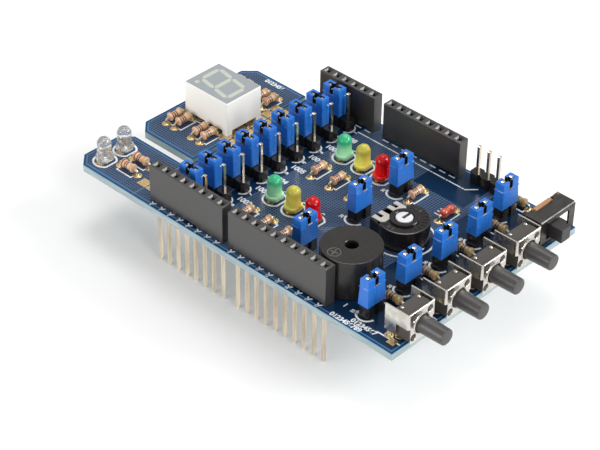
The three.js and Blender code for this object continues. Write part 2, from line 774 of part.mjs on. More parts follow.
for (let i = 0; i < buttonCount; i += 1) {
  const y = buttonFirstY + i * buttonPitch;
  addNode(`button_bracket_${i + 1}`, bracketSolid(), materials.tinned, bracketFrontX, y);
  addNode(`button_housing_${i + 1}`, buttonHousingSolid(), materials.black, bracketFrontX, y);
  const plunger = addNode(`button_plunger_${i + 1}`, solidOf(plungerGeometry()), materials.black,
    bracketFrontX, y, buttonAxisHeight);
  plunger.rotation.z = -Math.PI / 2;
  const legX = bracketFrontX - bracketDepth + bracketLegInset + bracketLegWidth / 2;
  const pinX = bracketFrontX - bracketThickness - buttonHousingDepth + buttonPinInset;
  for (const side of [-1, 1]) {
    drill(legX, y + side * (bracketWidth - bracketThickness) / 2, squarePinHole);
    drill(pinX, y + side * buttonPinPitch / 2, squarePinHole);
  }
}

// Slide switch, in its own frame: X from the face of its frame, Y from its centre
function slideSwitch() {
  const half = switchWidth / 2;
  const back = -switchDepth;
  const windowHalf = switchWindowWidth / 2;
  const roofLow = switchTop - switchSheet;
  let frame = unite(
    block(-switchSheet, 0, -half, half, 0, switchTop),
    block(back, 0, -half, half, roofLow, switchTop),
    block(back, 0, -half, half, 0, switchSheet));
  for (const side of [-1, 1]) {
    const tabCentre = side * (half - switchTabWidth / 2);
    frame = frame.add(
      post(back - switchTabDepth / 2, tabCentre, switchTabDepth + overrun, switchTabWidth, roofLow, switchTop));
  }
  frame = frame.subtract(
    block(-switchSheet - overrun, overrun, -windowHalf, windowHalf, switchWindowLow, switchWindowHigh));
  addNode('switch_frame', frame, materials.steel, switchFrontX, switchCentreY);

  const stripFront = back;
  const stripBack = stripFront - switchStripThickness;
  let strip = unite(
    block(stripBack, stripFront, -half, half, 0, roofLow),
    block(stripBack, stripFront, -switchStripRise / 2, switchStripRise / 2, roofLow - overrun, switchTop));
  for (const side of [-1, 0, 1]) {
    const pinX = (stripBack + stripFront) / 2;
    const pinY = side * switchPinPitch;
    strip = strip.add(rod(leadDiameter, boardUnderside - leadTail, overrun, pinX, pinY, leadSides));
    drill(switchFrontX + pinX, switchCentreY + pinY, leadHole);
  }
  addNode('switch_strip', strip, materials.phenolic, switchFrontX, switchCentreY);

  const sliderBack = back + runningGap;
  const sliderFront = -switchSheet - runningGap;
  const slider = unite(
    block(sliderBack, sliderFront, -sliderWidth / 2, sliderWidth / 2,
      knobCentreHeight - sliderHeight / 2, knobCentreHeight + sliderHeight / 2),
    block(sliderFront - overrun, knobReach, -knobWidth / 2, knobWidth / 2,
      knobCentreHeight - knobHeight / 2, knobCentreHeight + knobHeight / 2));
  addNode('switch_knob', slider, materials.black, switchFrontX, switchCentreY + knobOffset);
}
slideSwitch();

// Axial part lying along X on two bent leads: its body is turned, its leads are square wire
function axialPart(profile) {
  const points = profile.map(([r, along]) => new THREE.Vector2(r, along));
  const bodyLathe = new THREE.LatheGeometry(points, resistorSides);
  bodyLathe.rotateZ(-Math.PI / 2);
  bodyLathe.translate(0, 0, axialHeight);
  const wire = leadWidth / 2;
  const inner = resistorLeadPitch / 2 - wire;
  const outer = resistorLeadPitch / 2 + wire;
  const leads = [
    [-outer, -solderDepth], [-inner, -solderDepth], [-inner, axialHeight - wire], [inner, axialHeight - wire],
    [inner, -solderDepth], [outer, -solderDepth], [outer, axialHeight + wire], [-outer, axialHeight + wire],
  ];
  return solidOf(bodyLathe).add(sidePlate(leads, -wire, wire));
}

const resistorHalf = resistorBodyLength / 2;
const resistorProfile = [
  [0, -resistorHalf], [resistorBodyDiameter / 2, -resistorHalf],
  [resistorWaistDiameter / 2, resistorEndLength - resistorHalf],
  [resistorWaistDiameter / 2, resistorHalf - resistorEndLength],
  [resistorBodyDiameter / 2, resistorHalf], [0, resistorHalf],
];
const diodeProfile = [
  [0, -diodeBodyLength / 2], [diodeBodyDiameter / 2, -diodeBodyLength / 2],
  [diodeBodyDiameter / 2, diodeBodyLength / 2], [0, diodeBodyLength / 2],
];

function solderAxial(profile, x, y, alongY) {
  const part = axialPart(profile);
  solderedParts.push((alongY ? part.rotate([0, 0, 90]) : part).translate([x, y, 0]));
}

for (const i of [0, 1]) {
  solderAxial(resistorProfile, fingerResistorX, fingerResistorFirstY + i * fingerResistorPitch, false);
}
solderAxial(resistorProfile, trimmerResistorX, trimmerResistorY, true);
for (const y of [displayResistorNearY, displayResistorFarY]) {
  for (const pair of [0, 1]) {
    for (const i of [0, 1]) {
      const x = displayResistorFirstX + pair * displayResistorPairPitch + i * displayResistorPitch;
      solderAxial(resistorProfile, x, y, true);
    }
  }
}
for (let i = 0; i < lampColours.length; i += 1) {
  const x = lampResistorX + i * lampColumnPitch;
  solderAxial(resistorProfile, x, lampResistorFrontY, true);
  solderAxial(resistorProfile, x, lampResistorBackY, true);
}
for (let i = 0; i < buttonCount; i += 1) {
  solderAxial(resistorProfile, buttonResistorX, buttonFirstY + buttonResistorRise + i * buttonPitch, false);
}
solderAxial(resistorProfile, lastResistorX, lastResistorY, false);
solderAxial(diodeProfile, diodeX, diodeY, true);

// Printed board: a full-width body, a finger along the near edge and a tongue under the
// display, parted by a slot; the tongue hangs on a bridge between two narrow break slots
function printedBoard() {
  const left = -boardBeforeGrid;
  const bodyLeft = -bodyBeforeGrid;
  const right = boardAfterGrid;
  const nearEdge = -boardMargin;
  const farEdge = rowSpacing + boardMargin;
  const fingerFar = nearEdge + fingerWidth;
  const tongueNear = fingerFar + forkSlotWidth;
  const tongueFar = tongueNear + tongueWidth;
  const tongueRight = bodyLeft - breakSlotWidth;
  const bridgeNear = (tongueNear + tongueFar - bridgeWidth) / 2;
  const bridgeFar = bridgeNear + bridgeWidth;
  const chamfer = cornerChamfer;
  let plate = prism([
    [left + chamfer, nearEdge], [right, nearEdge], [right, farEdge], [bodyLeft, farEdge],
    [bodyLeft, bridgeFar], [tongueRight, bridgeFar], [tongueRight, tongueFar], [left + chamfer, tongueFar],
    [left, tongueFar - chamfer], [left, tongueNear + chamfer], [left + chamfer, tongueNear],
    [tongueRight, tongueNear], [tongueRight, bridgeNear], [bodyLeft, bridgeNear], [bodyLeft, fingerFar],
    [left + chamfer, fingerFar], [left, fingerFar - chamfer], [left, nearEdge + chamfer],
  ], boardUnderside, 0);
  plate = cut(plate, ...drillings);
  return unite(plate, ...solderedParts);
}
addNode('circuit_board', printedBoard(), materials.mask);

// The part rests on its pin tips, centred in plan on its bounding box
const part = new THREE.Group();
board.position.set(
  (boardBeforeGrid - bracketFrontX - plungerReach) / 2,
  -rowSpacing / 2,
  boardThickness + stackPinReach);
part.add(board);

export default part;
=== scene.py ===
import math

import bmesh
import bpy
from mathutils import Matrix, Vector


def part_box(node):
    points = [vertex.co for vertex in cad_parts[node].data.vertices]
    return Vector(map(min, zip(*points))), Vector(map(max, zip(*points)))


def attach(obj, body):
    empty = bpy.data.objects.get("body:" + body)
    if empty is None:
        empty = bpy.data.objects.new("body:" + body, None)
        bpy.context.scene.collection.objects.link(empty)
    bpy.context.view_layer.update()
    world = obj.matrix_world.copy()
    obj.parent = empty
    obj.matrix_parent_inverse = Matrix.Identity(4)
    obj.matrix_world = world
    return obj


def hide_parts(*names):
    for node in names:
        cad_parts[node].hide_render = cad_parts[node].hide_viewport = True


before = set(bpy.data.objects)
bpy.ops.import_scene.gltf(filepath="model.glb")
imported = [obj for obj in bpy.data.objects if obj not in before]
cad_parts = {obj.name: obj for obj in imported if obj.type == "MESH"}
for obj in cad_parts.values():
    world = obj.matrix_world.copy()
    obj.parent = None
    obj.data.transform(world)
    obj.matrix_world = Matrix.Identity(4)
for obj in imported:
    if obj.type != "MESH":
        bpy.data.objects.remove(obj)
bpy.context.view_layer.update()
scene = bpy.context.scene
MM = 0.001

# The studio: a white table with a soft shadow, a softbox behind at the right, a small one overhead,
# low ones at either side, and the camera that looks down over the corner with the push buttons.
CAMERA_PLACE = Vector((213.6, -235.1, 245.7)) * MM
CAMERA_AZIMUTH = math.radians(43.39)
CAMERA_ELEVATION = math.radians(36.79)
CAMERA_ROLL = math.radians(0.89)
CAMERA_LENS = 119.74
CAMERA_SENSOR = 36
CAMERA_NEAR = 10 * MM
TABLE_SIZE = 6.0
TABLE_WHITE = (0.93, 0.93, 0.93, 1)
TABLE_ROUGHNESS = 0.9
SHADOW_LIFT = 0.03
BACKDROP_WHITE = (1, 1, 1, 1)
BACKDROP_STRENGTH = 0.54
LIGHT_AIM = Vector((0, 0, 0.01))
SOFTBOXES = (  # a name, a place and a size in metres, and the power in watts
    ("key_softbox", (0.72, 0.68, 0.62), (0.45, 0.45), 8.0),
    ("overhead_softbox", (-0.25, 0.28, 1.0), (0.50, 0.50), 3.2),
    ("left_softbox", (-0.25, -0.95, 0.25), (0.7, 0.4), 5.4),
    ("right_softbox", (0.98, -0.10, 0.30), (0.6, 0.4), 5.3),
)

camera_data = bpy.data.cameras.new("camera")
camera_data.lens = CAMERA_LENS
camera_data.sensor_width = CAMERA_SENSOR
camera_data.clip_start = CAMERA_NEAR
camera = bpy.data.objects.new("camera", camera_data)
camera.matrix_world = (
    Matrix.Translation(CAMERA_PLACE)
    @ Matrix.Rotation(CAMERA_AZIMUTH, 4, "Z")
    @ Matrix.Rotation(math.pi / 2 - CAMERA_ELEVATION, 4, "X")
    @ Matrix.Rotation(CAMERA_ROLL, 4, "Z")
)
scene.collection.objects.link(camera)
scene.camera = camera
scene.view_settings.view_transform = "Standard"


def new_material(name, settings):
    """A material with one shader, set by the names of the shader's sockets."""
    material = bpy.data.materials.new(name)
    material.use_nodes = True
    tree = material.node_tree
    shader = tree.nodes["Principled BSDF"]
    for socket, value in settings.items():
        shader.inputs[socket].default_value = value
    return material, tree, shader


def add_math(tree, operation, a, b):
    node = tree.nodes.new("ShaderNodeMath")
    node.operation = operation
    for socket, value in zip(node.inputs, (a, b)):
        if isinstance(value, (int, float)):
            socket.default_value = value
        else:
            tree.links.new(value, socket)
    return node.outputs[0]


def white_for_looking(tree, shader):
    """Lifts the shadows for the camera, shows plain white to mirrors, and lights nothing else."""
    path = tree.nodes.new("ShaderNodeLightPath").outputs
    lifted = tree.nodes.new("ShaderNodeEmission")
    lift = add_math(tree, "MULTIPLY", path["Is Camera Ray"], SHADOW_LIFT)
    tree.links.new(lift, lifted.inputs["Strength"])
    both = tree.nodes.new("ShaderNodeAddShader")
    tree.links.new(shader.outputs[0], both.inputs[0])
    tree.links.new(lifted.outputs[0], both.inputs[1])
    mirrored = add_math(tree, "MAXIMUM", path["Is Glossy Ray"], path["Is Transmission Ray"])
    white = tree.nodes.new("ShaderNodeEmission")
    mix = tree.nodes.new("ShaderNodeMixShader")
    for value, socket in zip((mirrored, both.outputs[0], white.outputs[0]), mix.inputs):
        tree.links.new(value, socket)
    tree.links.new(mix.outputs[0], tree.nodes["Material Output"].inputs["Surface"])


floor_mesh = bpy.data.meshes.new("floor")
bm = bmesh.new()
bmesh.ops.create_grid(bm, x_segments=1, y_segments=1, size=TABLE_SIZE / 2)
bm.to_mesh(floor_mesh)
bm.free()
floor = bpy.data.objects.new("floor", floor_mesh)
scene.collection.objects.link(floor)
white_table, tree, shader = new_material("white_table", {
    "Base Color": TABLE_WHITE, "Roughness": TABLE_ROUGHNESS, "Specular IOR Level": 0.0})
white_for_looking(tree, shader)
floor_mesh.materials.append(white_table)

for name, place, size, power in SOFTBOXES:
    lamp = bpy.data.lights.new(name, "AREA")
    lamp.shape = "RECTANGLE"
    lamp.size, lamp.size_y = size
    lamp.energy = power
    holder = bpy.data.objects.new(name, lamp)
    turn = (LIGHT_AIM - Vector(place)).to_track_quat("-Z", "Y")
    holder.matrix_world = Matrix.Translation(place) @ turn.to_matrix().to_4x4()
    scene.collection.objects.link(holder)

world = bpy.data.worlds.new("studio")
scene.world = world
world.use_nodes = True
backdrop = world.node_tree.nodes["Background"]
backdrop.inputs["Color"].default_value = BACKDROP_WHITE
backdrop.inputs["Strength"].default_value = BACKDROP_STRENGTH

# The printed board: glass epoxy with a blue mask over hatched copper, routed to a forked outline.
# The tongue under the display hangs on a bridge that shows bare gold-plated squares. The underside is
# bare epoxy within a border of mask.
PITCH = 2.54 * MM
STRIP_TOP = 8.5 * MM
BOARD_THICK = 1.6 * MM
ROW_SPACING = 48.26 * MM
BOARD_MARGIN = 2.54 * MM
BOARD_LEFT = -22.225 * MM
BOARD_RIGHT = 63.5 * MM
BODY_LEFT = -4.5 * MM
BREAK_SLOT = 0.95 * MM
FINGER_WIDTH = 14.1 * MM
FORK_SLOT = 2.7 * MM
TONGUE_WIDTH = 32.9 * MM
BRIDGE_WIDTH = 17.9 * MM
CORNER = 2.5 * MM
BARE_BORDER = 0.45 * MM
SOLID_BORDER = 0.3 * MM
PLAIN_ZONES = (  # the lowest and highest X and Y of the areas without copper, in millimetres
    (8.2, -2.2, 11.6, 50.4), (31.0, 40.2, 44.0, 50.4), (36.0, -2.2, 47.0, 14.0), (46.0, -2.2, 63.0, 50.4))
HATCH_PITCH = 0.6 * MM
HATCH_LINE_SHARE = 0.34
HATCH_BLUR = 0.05
MASK_OVER_COPPER = (0.080, 0.132, 0.232)
MASK_OVER_EPOXY = (0.003, 0.014, 0.044)
MASK_NAVY = (0.004, 0.024, 0.066)
MASK_NAVY_LIGHT = (0.007, 0.036, 0.088)
MASK_BORDER = (0.004, 0.060, 0.150)
MASK_RIM = (0.075, 0.17, 0.33)
MASK_RIM_LIGHT = (0.09, 0.20, 0.36)
MASK_RELIEF = 0.03 * MM
MASK_CLOUD_SCALE = 260
MASK_CLOUD_SHARE = 0.25
MASK_GLOSS = (0.15, 0.25)
MASK_SHINE = 0.2
EPOXY = (0.36, 0.43, 0.44)
EPOXY_DARK = (0.23, 0.30, 0.32)
EPOXY_ROUGHNESS = 0.55
MASK_ON_EDGE = (0.05, 0.20, 0.34)
MASK_OVERHANG = 0.22 * MM
PLY_PITCH = 0.2 * MM
PLY_STRETCH = (0.05, 0.05, 1)
PLY_RELIEF = 0.02 * MM
WELD = 0.0001 * MM

strip_low, strip_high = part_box("socket_header_near_8")
ORIGIN = Vector((strip_low.x + PITCH / 2, (strip_low.y + strip_high.y) / 2, strip_high.z - STRIP_TOP))


def make_piece(name, bm, materials, body="board", replaces=(), sharp=32):
    """Turns a mesh drawn on the connector grid into a piece that rides on a body."""
    shift(bm, bm.verts, ORIGIN)
    for face in bm.faces:
        face.smooth = True
    mesh = bpy.data.meshes.new(name)
    bm.to_mesh(mesh)
    bm.free()
    mesh.set_sharp_from_angle(angle=math.radians(sharp))
    for material in materials:
        mesh.materials.append(material)
    piece = bpy.data.objects.new(name, mesh)
    scene.collection.objects.link(piece)
    shading = piece.modifiers.new("even_shading", "WEIGHTED_NORMAL")
    shading.keep_sharp = True
    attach(piece, body)
    if replaces:
        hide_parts(*replaces)


def shift(bm, geom, vec):
    """Moves the vertices among some parts of a mesh."""
    bmesh.ops.translate(bm, verts=[part for part in geom if isinstance(part, bmesh.types.BMVert)], vec=vec)


def move(bm, matrix):
    bmesh.ops.transform(bm, matrix=matrix, verts=bm.verts)
    return bm


def join(bm, part, matrix=None):
    """Adds one mesh to another, moved by a matrix."""
    if matrix is not None:
        move(part, matrix)
    carrier = bpy.data.meshes.new("carrier")
    part.to_mesh(carrier)
    part.free()
    bm.from_mesh(carrier)
    bpy.data.meshes.remove(carrier)


def at(x, y, z=0.0, turn=0.0):
    return Matrix.Translation((x, y, z)) @ Matrix.Rotation(math.radians(turn), 4, "Z")


def prism(points, low, high):
    """A flat outline raised between two heights."""
    bm = bmesh.new()
    face = bm.faces.new([bm.verts.new((x, y, low)) for x, y in points])
    shift(bm, bmesh.ops.extrude_face_region(bm, geom=[face])["geom"], (0, 0, high - low))
    bmesh.ops.recalc_face_normals(bm, faces=bm.faces)
    return bm


def paint(bm, index, test=None):
    """Gives a material to every face, or to those whose centres pass a test."""
    for face in bm.faces:
        if test is None or test(face.calc_center_median()):
            face.material_index = index
    return bm


def cut_across(bm, place, normal, faces=None):
    """Adds edges where a plane crosses a mesh, or only where it crosses some of its faces."""
    geom = bm.verts[:] + bm.edges[:] + bm.faces[:]
    if faces is not None:
        around = [v for f in faces for v in f.verts] + [e for f in faces for e in f.edges]
        geom = faces + list(dict.fromkeys(around))
    bmesh.ops.bisect_plane(bm, geom=geom, plane_co=place, plane_no=normal, dist=WELD)


near_edge = -BOARD_MARGIN
far_edge = ROW_SPACING + BOARD_MARGIN
finger_far = near_edge + FINGER_WIDTH
tongue_near = finger_far + FORK_SLOT
tongue_far = tongue_near + TONGUE_WIDTH
tongue_right = BODY_LEFT - BREAK_SLOT
bridge_near = (tongue_near + tongue_far - BRIDGE_WIDTH) / 2
bridge_far = bridge_near + BRIDGE_WIDTH
board_outline = [
    (BOARD_LEFT + CORNER, near_edge), (BOARD_RIGHT, near_edge), (BOARD_RIGHT, far_edge),
    (BODY_LEFT, far_edge), (BODY_LEFT, bridge_far), (tongue_right, bridge_far),
    (tongue_right, tongue_far), (BOARD_LEFT + CORNER, tongue_far), (BOARD_LEFT, tongue_far - CORNER),
    (BOARD_LEFT, tongue_near + CORNER), (BOARD_LEFT + CORNER, tongue_near), (tongue_right, tongue_near),
    (tongue_right, bridge_near), (BODY_LEFT, bridge_near), (BODY_LEFT, finger_far),
    (BOARD_LEFT + CORNER, finger_far), (BOARD_LEFT, finger_far - CORNER), (BOARD_LEFT, near_edge + CORNER),
]
MASK, EPOXY_EDGE, BORDER, COPPER_RIM, PLAIN = range(5)
plate = prism(board_outline, -BOARD_THICK, 0)
paint(plate, EPOXY_EDGE, lambda c: c.z < 0)
for width, finish, within in ((BARE_BORDER, BORDER, (MASK, EPOXY_EDGE)),
                              (SOLID_BORDER, COPPER_RIM, (MASK,))):
    skins = [f for f in plate.faces if abs(f.normal.z) > 0.5 and f.material_index in within]
    rim = bmesh.ops.inset_region(plate, faces=skins, thickness=width, use_even_offset=True)
    for face in rim["faces"]:
        face.material_index = finish
for zone in PLAIN_ZONES:
    low_x, low_y, high_x, high_y = (value * MM for value in zone)
    for place, normal in (((low_x, 0, 0), (1, 0, 0)), ((0, low_y, 0), (0, 1, 0)),
                          ((high_x, 0, 0), (1, 0, 0)), ((0, high_y, 0), (0, 1, 0))):
        cut_across(plate, place, normal, [f for f in plate.faces if f.material_index in (MASK, PLAIN)])
    for face in plate.faces:
        middle = face.calc_center_median()
        if face.material_index == MASK and low_x < middle.x < high_x and low_y < middle.y < high_y:
            face.material_index = PLAIN


def add_noise(tree, scale, detail, stretch=None):
    """A noise on the object's own coordinates."""
    place = tree.nodes.new("ShaderNodeTexCoord").outputs["Object"]
    if stretch:
        mapping = tree.nodes.new("ShaderNodeMapping")
        mapping.inputs["Scale"].default_value = stretch
        tree.links.new(place, mapping.inputs["Vector"])
        place = mapping.outputs[0]
    noise = tree.nodes.new("ShaderNodeTexNoise")
    noise.inputs["Scale"].default_value = scale
    noise.inputs["Detail"].default_value = detail
    tree.links.new(place, noise.inputs["Vector"])
    return noise.outputs["Fac"]


def add_mix(tree, share, a, b):
    """Mixes two colours by a share."""
    mix = tree.nodes.new("ShaderNodeMix")
    mix.data_type = "RGBA"
    tree.links.new(share, mix.inputs["Factor"])
    for name, value in (("A", a), ("B", b)):
        if isinstance(value, tuple):
            mix.inputs[name].default_value = (*value, 1)
        else:
            tree.links.new(value, mix.inputs[name])
    return mix.outputs["Result"]


def add_range(tree, value, to_low=0.0, to_high=1.0, low=0.3, high=0.7):
    """Maps the middle stretch of a noise, or another stretch of a value, onto two limits."""
    node = tree.nodes.new("ShaderNodeMapRange")
    tree.links.new(value, node.inputs["Value"])
    for name, number in (("From Min", low), ("From Max", high), ("To Min", to_low), ("To Max", to_high)):
        node.inputs[name].default_value = number
    return node.outputs["Result"]


def add_bump(tree, height, distance):
    bump = tree.nodes.new("ShaderNodeBump")
    bump.inputs["Distance"].default_value = distance
    tree.links.new(height, bump.inputs["Height"])
    return bump.outputs["Normal"]


def add_axes(tree):
    """The three object coordinates."""
    axes = tree.nodes.new("ShaderNodeSeparateXYZ")
    tree.links.new(tree.nodes.new("ShaderNodeTexCoord").outputs["Object"], axes.inputs[0])
    return axes.outputs


def mask_finish(name, light, dark, hatched=False):
    """Glossy solder mask: lighter over copper, darker over bare epoxy, with a fine hatch."""
    material, tree, shader = new_material(name, {"Specular IOR Level": MASK_SHINE})
    cloud = add_noise(tree, MASK_CLOUD_SCALE, 3)
    base = dark
    if hatched:
        axes = add_axes(tree)
        half_line = HATCH_LINE_SHARE / 2
        lines = []
        for axis in "XY":
            along = add_math(tree, "MULTIPLY", axes[axis], 1 / HATCH_PITCH)
            phase = add_math(tree, "PINGPONG", along, 0.5)
            lines.append(add_range(tree, phase, 1, 0, half_line - HATCH_BLUR, half_line + HATCH_BLUR))
        copper = add_math(tree, "MAXIMUM", *lines)
        base = add_mix(tree, copper, dark, light)
        tree.links.new(add_bump(tree, copper, MASK_RELIEF), shader.inputs["Normal"])
    tinted = add_mix(tree, add_range(tree, cloud, 0, MASK_CLOUD_SHARE), base, light)
    tree.links.new(tinted, shader.inputs["Base Color"])
    tree.links.new(add_range(tree, cloud, *MASK_GLOSS), shader.inputs["Roughness"])
    return material


hatched_mask = mask_finish("hatched_mask", MASK_OVER_COPPER, MASK_OVER_EPOXY, True)
plain_mask = mask_finish("plain_mask", MASK_NAVY_LIGHT, MASK_NAVY)
border_mask = mask_finish("border_mask", MASK_BORDER, MASK_BORDER)
rim_mask = mask_finish("rim_mask", MASK_RIM_LIGHT, MASK_RIM)

epoxy_edge, tree, shader = new_material("epoxy_edge", {"Roughness": EPOXY_ROUGHNESS})
ply = add_noise(tree, 1 / PLY_PITCH, 3, PLY_STRETCH)
drip_low = ORIGIN.z - MASK_OVERHANG
drip = add_range(tree, add_axes(tree)["Z"], low=drip_low, high=drip_low + MASK_OVERHANG / 2)
glass = add_mix(tree, add_range(tree, ply, low=0.35, high=0.65), EPOXY_DARK, EPOXY)
tree.links.new(add_mix(tree, drip, glass, MASK_ON_EDGE), shader.inputs["Base Color"])
tree.links.new(add_bump(tree, ply, PLY_RELIEF), shader.inputs["Normal"])
make_piece("board_plate", plate, [hatched_mask, epoxy_edge, border_mask, rim_mask, plain_mask],
           replaces=["circuit_board"])

# Bare pads and soldered joints: gold-plated rings round every lead on top, and a cone of bright
# solder with the cropped lead end under the board.
PAD_RADIUS = 0.95 * MM
PAD_RISE = 0.05 * MM
PAD_BORE = 0.40 * MM
WICK_RISE = 0.35 * MM
WICK_FOOT_SHARE = 0.4
WICK_REACH_SHARE = 1.5
SOLDER_RADIUS = 0.8 * MM
SOLDER_HEIGHT = 1.0 * MM
SOLDER_FLARE = 2.2
SOLDER_STEPS = 5
LEAD_TAIL = 1.2 * MM
LEAD_RADIUS = 0.25 * MM
BRIDGE_SQUARE = 2.2 * MM
BRIDGE_PITCH = 2.54 * MM
BRIDGE_COLUMNS = (-6.4 * MM, -3.9 * MM)
BRIDGE_FIRST = 24.1 * MM
BRIDGE_ROWS = 7
FINGER_PAD_Y = 1.9 * MM
GOLD = (0.86, 0.66, 0.34)
GOLD_DULL = (0.70, 0.50, 0.24)
SOLDER = (0.72, 0.71, 0.68)
SOLDER_DULL = (0.55, 0.54, 0.52)
METAL_RELIEF = 0.002 * MM


def clouded(tree, shader, cloud, color, dark, gloss, relief, high=0.7):
    """Carries a finish's colour, gloss and relief by one noise."""
    share = add_range(tree, cloud, low=0.35, high=high)
    tree.links.new(add_mix(tree, share, color, dark), shader.inputs["Base Color"])
    tree.links.new(add_range(tree, cloud, *gloss), shader.inputs["Roughness"])
    tree.links.new(add_bump(tree, cloud, relief), shader.inputs["Normal"])


def metal(name, color, dark, roughness, spread=0.1, scale=900, relief=METAL_RELIEF, stretch=None):
    """Plated or tinned metal with a slightly uneven, clouded gloss."""
    material, tree, shader = new_material(name, {"Metallic": 1.0})
    clouded(tree, shader, add_noise(tree, scale, 4, stretch), color, dark,
            (roughness - spread, roughness + spread), relief)
    return material


def turned(profile, sides):
    """A profile of radii and heights spun about an upright axis."""
    bm = bmesh.new()
    points = [bm.verts.new((r, 0, z)) for r, z in profile]
    edges = [bm.edges.new(pair) for pair in zip(points, points[1:])]
    bmesh.ops.spin(bm, geom=points + edges, cent=(0, 0, 0), axis=(0, 0, 1), dvec=(0, 0, 0),
                   angle=math.tau, steps=sides, use_merge=True)
    bmesh.ops.remove_doubles(bm, verts=bm.verts, dist=WELD)
    bmesh.ops.recalc_face_normals(bm, faces=bm.faces)
    return bm


def bevel(bm, edges, offset, segments=2):
    bmesh.ops.bevel(bm, geom=edges, offset=offset, segments=segments, profile=0.5, affect="EDGES",
                    clamp_overlap=True, material=-1)


def box(low, high, edge=0.0, segments=2):
    """A box between two corners with its edges rounded."""
    bm = bmesh.new()
    size = Vector(high) - Vector(low)
    middle = (Vector(high) + Vector(low)) / 2
    bmesh.ops.create_cube(bm, size=1, matrix=Matrix.Translation(middle) @ Matrix.Diagonal((*size, 1)))
    if edge:
        bevel(bm, bm.edges[:], edge, segments)
    return bm


def square_pad(x, y, size, low=0.0):
    """A plated square, flat on one skin of the board."""
    join(pads_above, box((x - size / 2, y - size / 2, low), (x + size / 2, y + size / 2, low + PAD_RISE),
                         PAD_RISE / 3, 1))


def solder_joint(x, y, tail=True, ringed=True):
    """A plated hole seen from both sides: the ring on top, the solder cone and lead end below."""
    if ringed:
        ring = turned([(LEAD_RADIUS, -PAD_RISE), (LEAD_RADIUS, WICK_RISE),
                       (PAD_BORE, WICK_RISE * WICK_FOOT_SHARE), (PAD_BORE * WICK_REACH_SHARE, PAD_RISE),
                       (PAD_RADIUS - PAD_RISE, PAD_RISE), (PAD_RADIUS, 0)], 20)
        join(pads_above, ring, at(x, y))
    skin, tip = -BOARD_THICK, -BOARD_THICK - SOLDER_HEIGHT
    cone = [(LEAD_RADIUS, tip)]
    for step in range(1, SOLDER_STEPS + 1):
        share = step / SOLDER_STEPS
        cone.append((LEAD_RADIUS + (SOLDER_RADIUS - LEAD_RADIUS) * share ** SOLDER_FLARE,
                     skin - SOLDER_HEIGHT * (1 - share) - PAD_RISE * share))
    cone += [(PAD_RADIUS, skin - PAD_RISE), (PAD_RADIUS, skin)]
    end = [(0, skin - LEAD_TAIL), (LEAD_RADIUS, skin - LEAD_TAIL)] if tail else [(0, tip)]
    join(joints_below, turned(end + cone, 14), at(x, y))


gold_pad = metal("gold_pad", GOLD, GOLD_DULL, 0.32)
solder_metal = metal("solder", SOLDER, SOLDER_DULL, 0.28)
joints_below = bmesh.new()
pads_above = bmesh.new()
for x in BRIDGE_COLUMNS:
    for y in [FINGER_PAD_Y] + [BRIDGE_FIRST + row * BRIDGE_PITCH for row in range(BRIDGE_ROWS)]:
        square_pad(x, y, BRIDGE_SQUARE)
        square_pad(x, y, BRIDGE_SQUARE, -BOARD_THICK - PAD_RISE)

# Axial resistors: a ceramic rod with pressed end caps under tan lacquer and painted rings, on tinned
# copper leads that are bent down into the board. They are soldered in before the taller parts.
RESISTOR_LENGTH = 3.4 * MM
RESISTOR_END = 0.95 * MM
RESISTOR_END_FLAT_SHARE = 0.55
RESISTOR_WAIST = 0.76 * MM
RESISTOR_CAP = 0.95 * MM
CAP_SHARES = (0.55, 0.85)
CAP_ROUND = 0.1 * MM
CAP_SHOULDER = 0.22 * MM
RESISTOR_STEPS = 40
RESISTOR_HEIGHT = 1.15 * MM
RESISTOR_SPAN = 5.08 * MM
LEAD_BEND = 0.55 * MM
BAND_HALF = 0.16 * MM
BAND_PLACES = (-1.2 * MM, -0.5 * MM, 0.02 * MM, 1.2 * MM)
BODY_TAN = (0.76, 0.50, 0.32)
BODY_TAN_DARK = (0.64, 0.38, 0.22)
BODY_OLIVE = (0.42, 0.30, 0.13)
BODY_OLIVE_DARK = (0.30, 0.20, 0.08)
BAND_COLOURS = {"brown": (0.11, 0.028, 0.012), "red": (0.33, 0.022, 0.012), "gold": (0.45, 0.27, 0.08),
                "black": (0.012, 0.010, 0.010)}
LEAD_TIN = (0.78, 0.73, 0.62)
LEAD_TIN_DULL = (0.62, 0.55, 0.44)
LACQUER_RELIEF = 0.015 * MM
LACQUER_GLOSS = (0.28, 0.42)
FINGER_RESISTOR_X = -11.75 * MM
FINGER_RESISTOR_ROWS = (2.6 * MM, 6.0 * MM)
LONE_RESISTOR = (34.9 * MM, 36.55 * MM)
TONGUE_RESISTOR_ROWS = (21.9 * MM, 39.8 * MM)
TONGUE_RESISTOR_COLUMNS = (-18.7 * MM, -16.25 * MM, -11.25 * MM, -8.8 * MM)
LAMP_RESISTOR_FIRST = 15.65 * MM
LAMP_RESISTOR_PITCH = 5.15 * MM
LAMP_RESISTOR_ROWS = (8.45 * MM, 29.05 * MM)
BUTTON_RESISTOR_X = 53.85 * MM
BUTTON_RESISTOR_FIRST = 8.75 * MM
BUTTON_PITCH = 10.16 * MM
SWITCH_RESISTOR = (51.05 * MM, 48.75 * MM)

ON_SIDE = Matrix.Rotation(math.pi / 2, 4, "Y")


def lacquer(name, color, dark, coat=0.6):
    """Hard baked lacquer or paint, thin and a little wavy."""
    material, tree, shader = new_material(name, {"Coat Weight": coat, "Coat Roughness": 0.12})
    clouded(tree, shader, add_noise(tree, 1400, 3), color, dark, LACQUER_GLOSS, LACQUER_RELIEF, 0.65)
    return material


